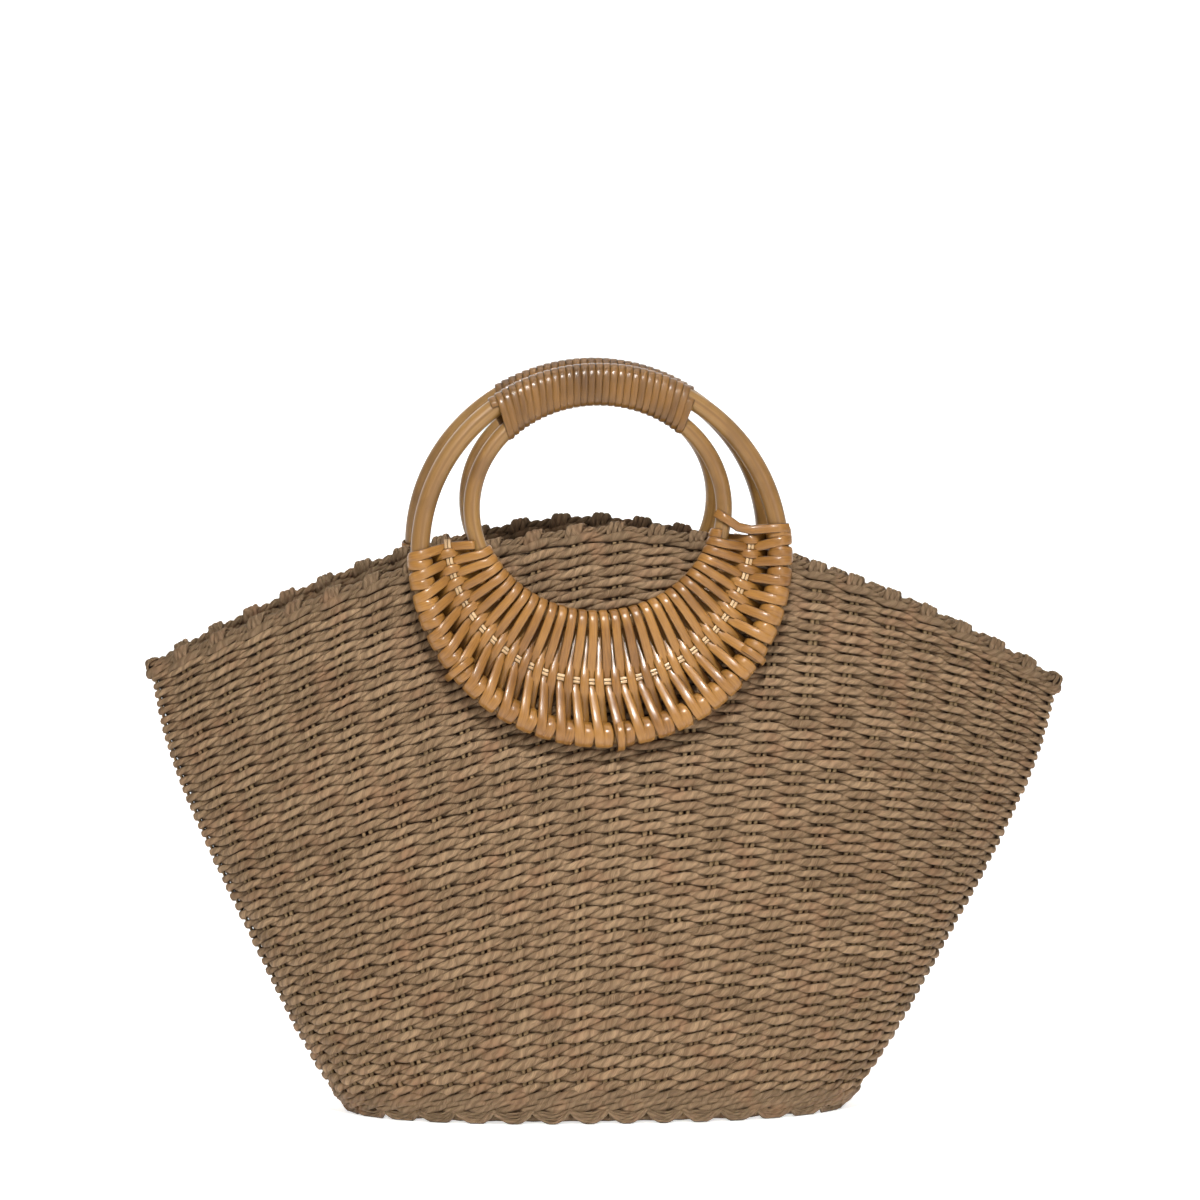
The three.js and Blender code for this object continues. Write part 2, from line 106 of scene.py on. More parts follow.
def add_node(
    tree: bpy.types.NodeTree, kind: str, settings: dict[str, object], inputs: dict[object, object]
) -> bpy.types.Node:
    """Adds a node with its settings and links.

    Args:
        tree: Node tree that gets it.
        kind: Blender's name of the node type.
        settings: Values of the node's own properties.
        inputs: What goes into each input socket, by name or place: a socket or a value.

    Returns:
        The new node.
    """
    node = tree.nodes.new(kind)
    for name, value in settings.items():
        setattr(node, name, value)
    for key, value in inputs.items():
        if isinstance(value, bpy.types.NodeSocket):
            tree.links.new(value, node.inputs[key])
        else:
            node.inputs[key].default_value = value
    return node


MULTIPLY = {"operation": "MULTIPLY"}
MULTIPLY_ADD = {"operation": "MULTIPLY_ADD"}
COLOUR_MIX = {"data_type": "RGBA"}
FACTOR, FIRST, SECOND, RESULT = 0, 6, 7, 2
NodeRow = tuple[str, str, dict[str, object], dict[object, object], int | str]
STRAND_ROWS = (
    ("map", "UVMap", {"uv_map": STRAND_MAP}, {}, 0),
    ("length", "SeparateXYZ", {}, {0: "map"}, 0),
    ("turn", "SeparateXYZ", {}, {0: "map"}, 1),
    ("place", "TexCoord", {}, {}, "Object"),
    ("tone", "Attribute", {"attribute_name": TONE}, {}, "Fac"),
)


def add_nodes(tree: bpy.types.NodeTree, rows: tuple[NodeRow, ...]) -> bpy.types.NodeSocket:
    """Adds a table of nodes in order, each fed by rows above it.

    Args:
        tree: Node tree that gets them.
        rows: Each node's name, type, settings, inputs and the output that its name stands for.
            An input that is text is the name of an earlier row.

    Returns:
        The output of the last row.
    """
    sockets: dict[str, bpy.types.NodeSocket] = {}
    for name, kind, settings, inputs, output in rows:
        fed = {key: sockets[value] if isinstance(value, str) else value for key, value in inputs.items()}
        sockets[name] = add_node(tree, f"ShaderNode{kind}", settings, fed).outputs[output]
    return sockets[rows[-1][0]]


class Slot(Enum):
    """Material slots of the record."""

    WEAVE = "straw_weave"
    BORDER = "straw_border"
    CANE = "rattan_cane"
    PEEL = "rattan_peel"


@dataclass(frozen=True)
class Finish:
    """A surface finish: its own name and the nodes that draw it."""

    name: str = "finish"

    def material(self) -> bpy.types.Material:
        """Returns the finish as a material, made the first time it is asked for."""
        known = bpy.data.materials.get(self.name)
        if known is not None:
            return known
        made = bpy.data.materials.new(self.name)
        made.use_nodes = True
        tree = made.node_tree
        tree.nodes.clear()
        surface = add_nodes(tree, self.rows())
        add_node(tree, "ShaderNodeOutputMaterial", {}, {"Surface": surface})
        return made

    def rows(self) -> tuple[NodeRow, ...]:
        """Lists the finish's nodes, with its shader last."""
        raise NotImplementedError


@dataclass(frozen=True)
class StrawCordFinish(Finish):
    """Cord twisted from paper straw, undyed and left matt.

    The plies give the eye soft slanting ridges, with painted shade laid into the creases between
    them; the crumpled strip gives fine lengthwise fibres; each stretch of cord has a tone of its
    own; and painted shade from an occlusion mask turns the hollows between the strands nearly black.
    """

    # painted shade: colour laid into the creases between the plies
    crease_shade: str = "#3a2817"
    shade: str = "#604a33"
    lit: str = "#a08465"
    pinkish: str = "#8c6a4e"
    # painted shade: near-black colour laid into the hollows between the strands
    hollow_shade: str = "#22150a"
    shade_reach: float = 3.5 * MM
    ply_spacing: float = 5.2 * MM
    plies: int = 2
    wander: float = 1.1
    ridge_power: float = 0.7
    fibre_spacing: float = 0.5 * MM
    fibre_stretch: float = 0.12
    fibre_relief: float = 0.35
    tone_share: float = 0.5
    patch: float = 13.0 * MM
    relief: float = 0.55 * MM
    relief_strength: float = 0.7
    roughness: float = 0.8

    def rows(self) -> tuple[NodeRow, ...]:
        """Lists the nodes of the cord's plies, fibres, shades and hollows."""
        across, along = self.ply_spacing / self.fibre_spacing, self.fibre_stretch / self.fibre_spacing
        wavering = {"Vector": "place", "Scale": 1 / self.ply_spacing, "Detail": 1.0}
        streaked = {"Value": "fibres", "From Min": 0.32, "From Max": 0.68, "To Max": 0.6}
        blushing = {"Value": "patches", "From Min": 0.5, "From Max": 0.72, "To Max": 0.7}
        # painted shade in the creases: darker the further down the side of a ridge
        crease_shading = {"Value": "ridge", "From Max": 0.7, "To Min": 0.34, "To Max": 0.0}
        hollow_shading = {"Value": "open", "From Min": 0.1, "From Max": 0.62, "To Min": 0.95, "To Max": 0.0}
        shade, lit, pinkish = linear(self.shade), linear(self.lit), linear(self.pinkish)
        crease_shade, hollow_shade = linear(self.crease_shade), linear(self.hollow_shade)
        raised = {"Height": "height", "Distance": self.relief, "Strength": self.relief_strength}
        surface = {
            "Base Color": "hollow_shaded",
            "Roughness": self.roughness,
            "IOR": 1.45,
            "Specular IOR Level": 0.3,
            "Normal": "bump",
        }
        return (
            *STRAND_ROWS,
            ("patches", "TexNoise", {}, {"Vector": "place", "Scale": 1 / self.patch, "Detail": 3.0}, "Fac"),
            ("waver", "TexNoise", {}, wavering, "Fac"),
            ("lag", "Math", MULTIPLY, {0: "waver", 1: self.wander}, 0),
            ("lay", "Math", MULTIPLY_ADD, {0: "turn", 1: float(self.plies), 2: "lag"}, 0),
            ("phase", "Math", MULTIPLY_ADD, {0: "length", 1: 1 / self.ply_spacing, 2: "lay"}, 0),
            ("swing", "Math", MULTIPLY, {0: "phase", 1: math.tau}, 0),
            ("wave", "Math", {"operation": "SINE"}, {0: "swing"}, 0),
            ("ridge", "Math", MULTIPLY_ADD, {0: "wave", 1: 0.5, 2: 0.5}, 0),
            ("round_ridge", "Math", {"operation": "POWER"}, {0: "ridge", 1: self.ridge_power}, 0),
            ("across", "Math", MULTIPLY, {0: "phase", 1: across}, 0),
            ("along", "Math", MULTIPLY, {0: "length", 1: along}, 0),
            ("fibre_place", "CombineXYZ", {}, {0: "across", 1: "along"}, 0),
            ("fibres", "TexNoise", {}, {"Vector": "fibre_place", "Scale": 1.0, "Detail": 2.0}, "Fac"),
            ("streak", "MapRange", {}, streaked, 0),
            ("light", "Math", MULTIPLY_ADD, {0: "tone", 1: self.tone_share, 2: "streak"}, 0),
            ("body", "Mix", COLOUR_MIX, {FACTOR: "light", FIRST: shade, SECOND: lit}, RESULT),
            ("blush", "MapRange", {}, blushing, 0),
            ("tinted", "Mix", COLOUR_MIX, {FACTOR: "blush", FIRST: "body", SECOND: pinkish}, RESULT),
            # painted shade: the creases between the ridges darken towards the crease colour
            ("crease_shade", "MapRange", {}, crease_shading, 0),
            ("colour", "Mix", COLOUR_MIX, {FACTOR: "crease_shade", FIRST: "tinted", SECOND: crease_shade}, RESULT),
            # painted shade: ambient occlusion finds the hollows between the strands and darkens them
            # towards the hollow colour
            ("open", "AmbientOcclusion", {"samples": 6}, {"Distance": self.shade_reach}, "AO"),
            ("hollow_shade", "MapRange", {}, hollow_shading, 0),
            ("hollow_shaded", "Mix", COLOUR_MIX, {FACTOR: "hollow_shade", FIRST: "colour", SECOND: hollow_shade}, RESULT),
            ("height", "Math", MULTIPLY_ADD, {0: "fibres", 1: self.fibre_relief, 2: "round_ridge"}, 0),
            ("bump", "Bump", {}, raised, 0),
            ("surface", "BsdfPrincipled", {}, surface, "BSDF"),
        )


@dataclass(frozen=True)
class RattanFinish(Finish):
    """Rattan with its glossy skin, as a whole cane or as split peel.

    The hard skin gives the eye a clear gloss, the vessels under it give fine lengthwise streaks,
    the sides of a split peel carry painted shade that leaves its crown lighter, and painted shade
    from an occlusion mask makes the gaps between peels dark and their gloss dull.
    """

    dark: str = "#5a340f"
    middle: str = "#744a1a"
    pale: str = "#ab7937"
    # painted shade: colour laid on the sides of a peel, where its rounded section turns away from the light
    edge: str = "#3d220a"
    # painted shade: dark colour laid into the gaps between peels
    hollow_shade: str = "#1d1005"
    shade_reach: float = 6.0 * MM
    side_shade_share: float = 0.78
    streak_share: float = 0.45
    tone_share: float = 0.55
    vessel_spacing: float = 0.35 * MM
    vessel_stretch: float = 0.04
    girth: float = 9.0 * MM
    patch: float = 22.0 * MM
    relief: float = 0.12 * MM
    relief_strength: float = 0.6
    roughness: float = 0.37
    coat: float = 0.4
    coat_roughness: float = 0.2

    def rows(self) -> tuple[NodeRow, ...]:
        """Lists the nodes of the skin's streaks, patches, edges, gaps and gloss."""
        across, along = self.girth / self.vessel_spacing, self.vessel_stretch / self.vessel_spacing
        streaked = {"Value": "streaks", "From Min": 0.3, "From Max": 0.7, "To Max": self.streak_share}
        stained = {"Value": "patches", "From Min": 0.5, "From Max": 0.8, "To Max": 0.7}
        side_shading = {"Value": "sideways", "From Min": self.side_shade_share, "From Max": 1.0, "To Max": 0.85}
        hollow_shading = {"Value": "open", "From Min": 0.05, "From Max": 0.55, "To Min": 0.9, "To Max": 0.0}
        glossed = {"Value": "open", "From Min": 0.25, "From Max": 0.6, "To Max": self.coat}
        middle, pale, dark = linear(self.middle), linear(self.pale), linear(self.dark)
        edge, hollow_shade = linear(self.edge), linear(self.hollow_shade)
        raised = {"Height": "streaks", "Distance": self.relief, "Strength": self.relief_strength}
        surface = {
            "Base Color": "hollow_shaded",
            "Roughness": self.roughness,
            "IOR": 1.5,
            "Specular IOR Level": "gloss",
            "Coat Weight": "gloss",
            "Coat Roughness": self.coat_roughness,
            "Normal": "bump",
        }
        return (
            *STRAND_ROWS,
            ("across", "Math", MULTIPLY, {0: "turn", 1: across}, 0),
            ("along", "Math", MULTIPLY, {0: "length", 1: along}, 0),
            ("vessel_place", "CombineXYZ", {}, {0: "across", 1: "along"}, 0),
            ("streaks", "TexNoise", {}, {"Vector": "vessel_place", "Scale": 1.0, "Detail": 3.0}, "Fac"),
            ("patches", "TexNoise", {}, {"Vector": "place", "Scale": 1 / self.patch, "Detail": 3.0}, "Fac"),
            ("streak", "MapRange", {}, streaked, 0),
            ("light", "Math", MULTIPLY_ADD, {0: "tone", 1: self.tone_share, 2: "streak"}, 0),
            ("body", "Mix", COLOUR_MIX, {FACTOR: "light", FIRST: middle, SECOND: pale}, RESULT),
            ("stain", "MapRange", {}, stained, 0),
            ("stained", "Mix", COLOUR_MIX, {FACTOR: "stain", FIRST: "body", SECOND: dark}, RESULT),
            # painted shade: the sides of the section, away from its crown, darken towards the edge colour
            ("angle", "Math", MULTIPLY, {0: "turn", 1: math.tau}, 0),
            ("cosine", "Math", {"operation": "COSINE"}, {0: "angle"}, 0),
            ("sideways", "Math", {"operation": "ABSOLUTE"}, {0: "cosine"}, 0),
            ("side", "MapRange", {}, side_shading, 0),
            ("colour", "Mix", COLOUR_MIX, {FACTOR: "side", FIRST: "stained", SECOND: edge}, RESULT),
            # painted shade: ambient occlusion darkens the gaps between peels towards the hollow colour and
            # turns their gloss down
            ("open", "AmbientOcclusion", {"samples": 6}, {"Distance": self.shade_reach}, "AO"),
            ("hollow_shade", "MapRange", {}, hollow_shading, 0),
            ("hollow_shaded", "Mix", COLOUR_MIX, {FACTOR: "hollow_shade", FIRST: "colour", SECOND: hollow_shade}, RESULT),
            ("bump", "Bump", {}, raised, 0),
            ("gloss", "MapRange", {}, glossed, 0),
            ("surface", "BsdfPrincipled", {}, surface, "BSDF"),
        )


@dataclass(frozen=True)
class PaperSweepFinish(Finish):
    """Seamless white studio paper, matt, with a faint tooth, and glowing: painted light of its own in place
    of light through it from behind.
    """

    colour: str = "#fbfbfa"
    tooth: float = 1.5 * MM
    relief: float = 0.05 * MM
    relief_strength: float = 0.2
    glow: float = 0.72

    def rows(self) -> tuple[NodeRow, ...]:
        """Lists the nodes of the paper's tooth and glow."""
        raised = {"Height": "tooth", "Distance": self.relief, "Strength": self.relief_strength}
        surface = {
            "Base Color": linear(self.colour),
            # painted light: the paper emits light itself, which brightens the floor and the bag and
            # lightens the shadow under the bag
            "Emission Color": linear(self.colour),
            "Emission Strength": self.glow,
            "Roughness": 0.9,
            "Normal": "bump",
        }
        return (
            ("tooth", "TexNoise", {}, {"Scale": 1 / self.tooth}, "Fac"),
            ("bump", "Bump", {}, raised, 0),
            ("surface", "BsdfPrincipled", {}, surface, "BSDF"),
        )


STRAW_CORD = StrawCordFinish(name="twisted paper-straw cord")
STRAW_STAKE = StrawCordFinish(
    name="paper-straw stake", shade="#6c5538", lit="#a08661", ply_spacing=9 * MM, plies=1
)
# the wall's cord made darker: painted shade for the rim and foot borders
SHADED_BORDER_CORD = StrawCordFinish(
    name="braided paper-straw cord", shade="#574530", lit="#897055", ply_spacing=5.5 * MM
)
RATTAN_CANE = RattanFinish(
    name="rattan cane",
    dark="#553615",
    middle="#7a5528",
    pale="#a57f49",
    edge="#7a5528",
    side_shade_share=0.98,
    streak_share=0.25,
    vessel_spacing=0.7 * MM,
    girth=26 * MM,
)
RATTAN_PEEL = RattanFinish(name="rattan peel")
# painted shade on the sides of each wrap draws the fine dark lines between the grip's wraps
RATTAN_GRIP = RattanFinish(
    name="rattan peel of the grip", dark="#452b0f", middle="#5f3f19", pale="#8c6129", side_shade_share=0.9
)
RATTAN_RIB = RattanFinish(
    name="rattan rib", middle="#b08a5c", pale="#e0c196", edge="#8a6238", side_shade_share=0.9
)


class Strands:
    """Swept strands, kept as arrays and made into one joined mesh at the end.

    A strand's map runs along it in metres and once round it, and its tone, from 0 to 1, sets
    the shade of each stretch.
    """

    def __init__(self, seed: int) -> None:
        """Starts with no strands and a fixed source of random numbers."""
        self.random = np.random.default_rng(seed)
        self.points: list[Array] = []
        self.tones: list[Array] = []
        self.quads: list[Array] = []
        self.maps: list[Array] = []
        self.caps: list[Array] = []
        self.cap_maps: list[Array] = []
        self.count = 0

    def sweep(
        self,
        paths: Array,
        wide: Array,
        half_width: float | Array,
        half_depth: float | Array,
        sides: int = 8,
        closed: bool = False,
        tone: float | Array = 0.5,
        roundness: float = 1.0,
        seam: float = 0.0,
    ) -> None:
        """Sweeps an oval section along each of a batch of paths.

        Args:
            paths: Middle points, as strands by points by 3, or points by 3 for one strand.
            wide: Direction of the section's width at each point, squared up to the path here.
            half_width: Half the section along wide.
            half_depth: Half the section across wide.
            sides: Points round the section.
            closed: Whether each strand joins its own start.
            tone: Shade at each point.
            roundness: Power of the oval: 1 is an ellipse and less is closer to a box.
            seam: Angle round the section where the map starts, in degrees from wide.
        """
        paths = paths if paths.ndim == 3 else paths[None]
        wide = np.broadcast_to(wide, paths.shape)
        tangent = directions(paths, closed)
        wide = unit(wide - tangent * np.sum(wide * tangent, axis=-1, keepdims=True))
        deep = np.cross(tangent, wide)
        angle = math.tau * np.arange(sides) / sides + math.radians(seam)
        cosine = np.sign(np.cos(angle)) * np.abs(np.cos(angle)) ** roundness
        sine = np.sign(np.sin(angle)) * np.abs(np.sin(angle)) ** roundness
        shape = paths.shape[:2]
        width = np.broadcast_to(half_width, shape)[..., None] * cosine
        depth = np.broadcast_to(half_depth, shape)[..., None] * sine
        rings = paths[:, :, None] + wide[:, :, None] * width[..., None]
        rings = rings + deep[:, :, None] * depth[..., None]
        self._keep(rings, closed, np.broadcast_to(tone, shape))

    def _keep(self, rings: Array, closed: bool, tone: Array) -> None:
        """Stores the sections of a batch of strands with their faces and maps.

        Args:
            rings: Section points, as strands by sections by sides by 3.
            closed: Whether each strand joins its own start.
            tone: Shade of each section.
        """
        strands, sections, sides = rings.shape[:3]
        middle = rings.mean(axis=2)
        following = np.roll(middle, -1, axis=1)
        step = np.linalg.norm(following - middle, axis=-1)
        start = self.random.uniform(0, 1, (strands, 1))
        length = start + np.concatenate([np.zeros((strands, 1)), np.cumsum(step, axis=1)], axis=1)
        steps = sections if closed else sections - 1
        number = self.count + np.arange(strands * sections * sides).reshape(rings.shape[:3])
        here = number[:, :steps]
        there = np.roll(number, -1, axis=1)[:, :steps]
        quads = np.stack(
            [here, np.roll(here, -1, axis=2), np.roll(there, -1, axis=2), there], axis=-1
        )
        low = np.broadcast_to(length[:, :steps, None], here.shape)
        high = np.broadcast_to(length[:, 1 : steps + 1, None], here.shape)
        left = np.broadcast_to(np.arange(sides) / sides, here.shape)
        right = left + 1 / sides
        maps = np.stack(
            [
                np.stack([low, left], axis=-1),
                np.stack([low, right], axis=-1),
                np.stack([high, right], axis=-1),
                np.stack([high, left], axis=-1),
            ],
            axis=-2,
        )
        self.points.append(rings.reshape(-1, 3))
        self.tones.append(np.repeat(tone.reshape(-1), sides))
        self.quads.append(quads.reshape(-1, 4))
        self.maps.append(maps.reshape(-1, 2))
        if not closed:
            self.caps.append(number[:, 0, ::-1])
            self.caps.append(number[:, -1])
            for end in (0, steps):
                cap_map = np.stack(
                    np.broadcast_arrays(length[:, end, None], np.arange(sides) / sides), axis=-1
                )
                self.cap_maps.append(cap_map.reshape(-1, 2))
        self.count += strands * sections * sides

    def piece(
        self, name: str, finish: Finish, replaced: tuple[str, ...]
    ) -> bpy.types.Object:
        """Makes the strands one mesh object that rides on the frame.

        Args:
            name: Name of the object.
            finish: Its finish.
            replaced: CAD nodes that it stands for.

        Returns:
            The new object.
        """
        mesh = bpy.data.meshes.new(name)
        points = np.concatenate(self.points).astype(np.float32)
        faces = [*self.quads, *self.caps]
        corners = np.concatenate([face.reshape(-1) for face in faces]).astype(np.int32)
        sizes = np.concatenate([np.full(len(face), face.shape[1]) for face in faces])
        starts = np.concatenate([[0], np.cumsum(sizes)[:-1]]).astype(np.int32)
        mesh.vertices.add(len(points))
        mesh.vertices.foreach_set("co", points.ravel())
        mesh.loops.add(len(corners))
        mesh.loops.foreach_set("vertex_index", corners)
        mesh.polygons.add(len(sizes))
        mesh.polygons.foreach_set("loop_start", starts)
        mesh.polygons.foreach_set("loop_total", sizes.astype(np.int32))
        strand_map = mesh.uv_layers.new(name=STRAND_MAP)
        maps = np.concatenate([*self.maps, *self.cap_maps]).astype(np.float32)
        strand_map.data.foreach_set("uv", maps.ravel())
        tone = mesh.attributes.new(TONE, "FLOAT", "POINT")
        tone.data.foreach_set("value", np.concatenate(self.tones).astype(np.float32))
        mesh.update(calc_edges=True)
        mesh.shade_smooth()
        mesh.materials.append(finish.material())
        made = bpy.data.objects.new(name, mesh)
        bpy.context.scene.collection.objects.link(made)
        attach(made, BODY)
        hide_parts(*replaced)
        triangles = int(np.sum(sizes - 2))
        logging.info("%s: %d triangles", name, triangles)
        return made


@dataclass
class BasketShell:
    """Middle surface of the woven wall, addressed by stake and by share of the height.

    Stakes are counted from the right-hand corner along the front and home along the back. The
    columns below are shares at the listed heights, as in the frame's own basket.
    """

    base_length: float = 227 * MM
    base_depth: float = 117 * MM
    mouth_length: float = 428 * MM
    mouth_depth: float = 76 * MM
    rim_height: float = 273 * MM
    corner_height: float = 204 * MM
    corner_tilt: float = 5 * MM
    base_shift: float = 4.7 * MM
    back_drift: float = 7 * MM
    foot_thickness: float = 9 * MM
    rim_thickness: float = 8 * MM
    foot_height: float = 14 * MM
    rim_border_height: float = 9 * MM
    rim_arch_power: float = 1.65
    corner_tilt_power: int = 3
    stakes: int = 48
    heights: tuple[float, ...] = (0.0, 0.07, 0.2, 0.4, 0.6, 0.8, 1.0)
    spread: tuple[float, ...] = (0.0, 0.131, 0.294, 0.504, 0.713, 0.892, 1.0)
    closing: tuple[float, ...] = (0.0, -0.03, -0.07, -0.04, 0.12, 0.5, 1.0)
    fullness: tuple[float, ...] = (2.5, 2.47, 2.4, 2.4, 2.6, 2.9, 3.0)
    fold: tuple[float, ...] = (0.5, 0.51, 0.53, 0.6, 0.7, 0.8, 0.85)
    fineness: int = 8
    levels: int = 120
    samples: int = 480

    def __post_init__(self) -> None:
        """Works out the surface, its outward direction and its upward one on a fine grid."""
        shares = np.linspace(0, 1, self.levels + 1)
        self.grid = np.stack([self._loop(share) for share in shares])
        half_stake = self.fineness // 2
        around = np.roll(self.grid, -half_stake, axis=1) - np.roll(self.grid, half_stake, axis=1)
        self.upward = np.gradient(self.grid, axis=0)
        self.outward = unit(np.cross(self.upward, around))
        self.upward = unit(self.upward)

    def _column(self, values: tuple[float, ...], share: float) -> float:
        """Reads one column at a share of the height, on a smooth curve through its rows.

        Args:
            values: The column.
            share: Share of the height.

        Returns:
            The value there.
        """
        heights = np.array(self.heights)
        padded = np.array([values[0], *values, values[-1]])
        around = np.array([heights[0], *heights, heights[-1]])
        slope = (padded[2:] - padded[:-2]) / (around[2:] - around[:-2])
        row = int(np.clip(np.searchsorted(heights, share) - 1, 0, len(heights) - 2))
        run = heights[row + 1] - heights[row]
        t = (share - heights[row]) / run
        start = values[row] * (2 * t**3 - 3 * t**2 + 1) + run * slope[row] * (t**3 - 2 * t**2 + t)
        end = values[row + 1] * (3 * t**2 - 2 * t**3) + run * slope[row + 1] * (t**3 - t**2)
        return start + end

    def _panel(self, share: float, side: int) -> Array:
        """Finds evenly spaced points along one panel at one share of the height.

        Args:
            share: Share of the height.
            side: -1 for the front panel and 1 for the back one.

        Returns:
            Points from the right-hand corner to the left-hand one.
        """
        along = np.cos(math.pi * np.arange(self.samples + 1) / self.samples)
        reach = np.abs(along)
        half_length = mix(
            (self.base_length - self.foot_thickness) / 2,
            (self.mouth_length - self.rim_thickness) / 2,
            self._column(self.spread, share),
        )
        half_depth = mix(
            (self.base_depth - self.foot_thickness) / 2,
            (self.mouth_depth - self.rim_thickness) / 2,
            self._column(self.closing, share),
        )
        outline = (1 - reach ** self._column(self.fullness, share)).clip(0)
        outline = outline ** self._column(self.fold, share)
        drift = self.back_drift * share * (1 - reach**2) if side > 0 else 0.0
        drop = (self.rim_height - self.corner_height) * reach**self.rim_arch_power
        drop = drop + self.corner_tilt * along**self.corner_tilt_power
        fine = np.stack(
            [
                along * half_length - self.base_shift * (1 - share) - drift,
                side * half_depth * outline,
                share * (self.rim_height - drop),
            ],
            axis=-1,
        )
        steps = np.linalg.norm(np.diff(fine, axis=0), axis=1)
        length = np.concatenate([[0], np.cumsum(steps)])
        even = np.linspace(0, length[-1], self.stakes // 2 * self.fineness + 1)
        return np.stack([np.interp(even, length, fine[:, i]) for i in range(3)], axis=-1)

    def _loop(self, share: float) -> Array:
        """Returns the points once round the basket at one share of the height."""
        return np.concatenate([self._panel(share, -1)[:-1], self._panel(share, 1)[:0:-1]])

    def _read(self, grid: Array, stake: Array, share: Array) -> Array:
        """Reads a grid between its points.

        Args:
            grid: Values by level and by place round the basket.
            stake: Places round the basket, in stakes.
            share: Shares of the height.

        Returns:
            The value at each place.
        """
        column = (stake * self.fineness) % grid.shape[1]
        left = np.floor(column).astype(int) % grid.shape[1]
        right = (left + 1) % grid.shape[1]
        level = np.clip(share, 0, 1) * self.levels
        low = np.clip(np.floor(level).astype(int), 0, self.levels - 1)
        sideways = (column - np.floor(column))[..., None]
        upwards = (level - low)[..., None]
        below = mix(grid[low, left], grid[low, right], sideways)
        above = mix(grid[low + 1, left], grid[low + 1, right], sideways)
        return mix(below, above, upwards)

    def place(
        self,
        stake: float | Array,
        share: float | Array,
        out: float | Array = 0.0,
        up: float | Array = 0.0,
    ) -> Array:
        """Finds points on or near the wall.

        Args:
            stake: Places round the basket, in stakes.
            share: Shares of the height.
            out: Distances out of the middle surface.
            up: Distances up along the wall.

        Returns:
            The points.
        """
        stake, share, out, up = np.broadcast_arrays(stake, share, out, up)
        point = self._read(self.grid, stake, share)
        normal = unit(self._read(self.outward, stake, share))
        rise = unit(self._read(self.upward, stake, share))
        return point + normal * out[..., None] + rise * up[..., None]

    def rise(self, stake: float | Array, share: float | Array) -> Array:
        """Returns the upward direction of the wall at each place."""
        stake, share = np.broadcast_arrays(stake, share)
        return unit(self._read(self.upward, stake, share))

    def normal(self, stake: float | Array, share: float | Array) -> Array:
        """Returns the outward direction of the wall at each place."""
        stake, share = np.broadcast_arrays(stake, share)
        return unit(self._read(self.outward, stake, share))

    def foot_share(self) -> float:
        """Returns the share of the height where the braided foot ends."""
        return self.foot_height / self.rim_height

    def rim_share(self) -> float:
        """Returns the share of the height where the rim border starts."""
        return 1 - self.rim_border_height / self.rim_height


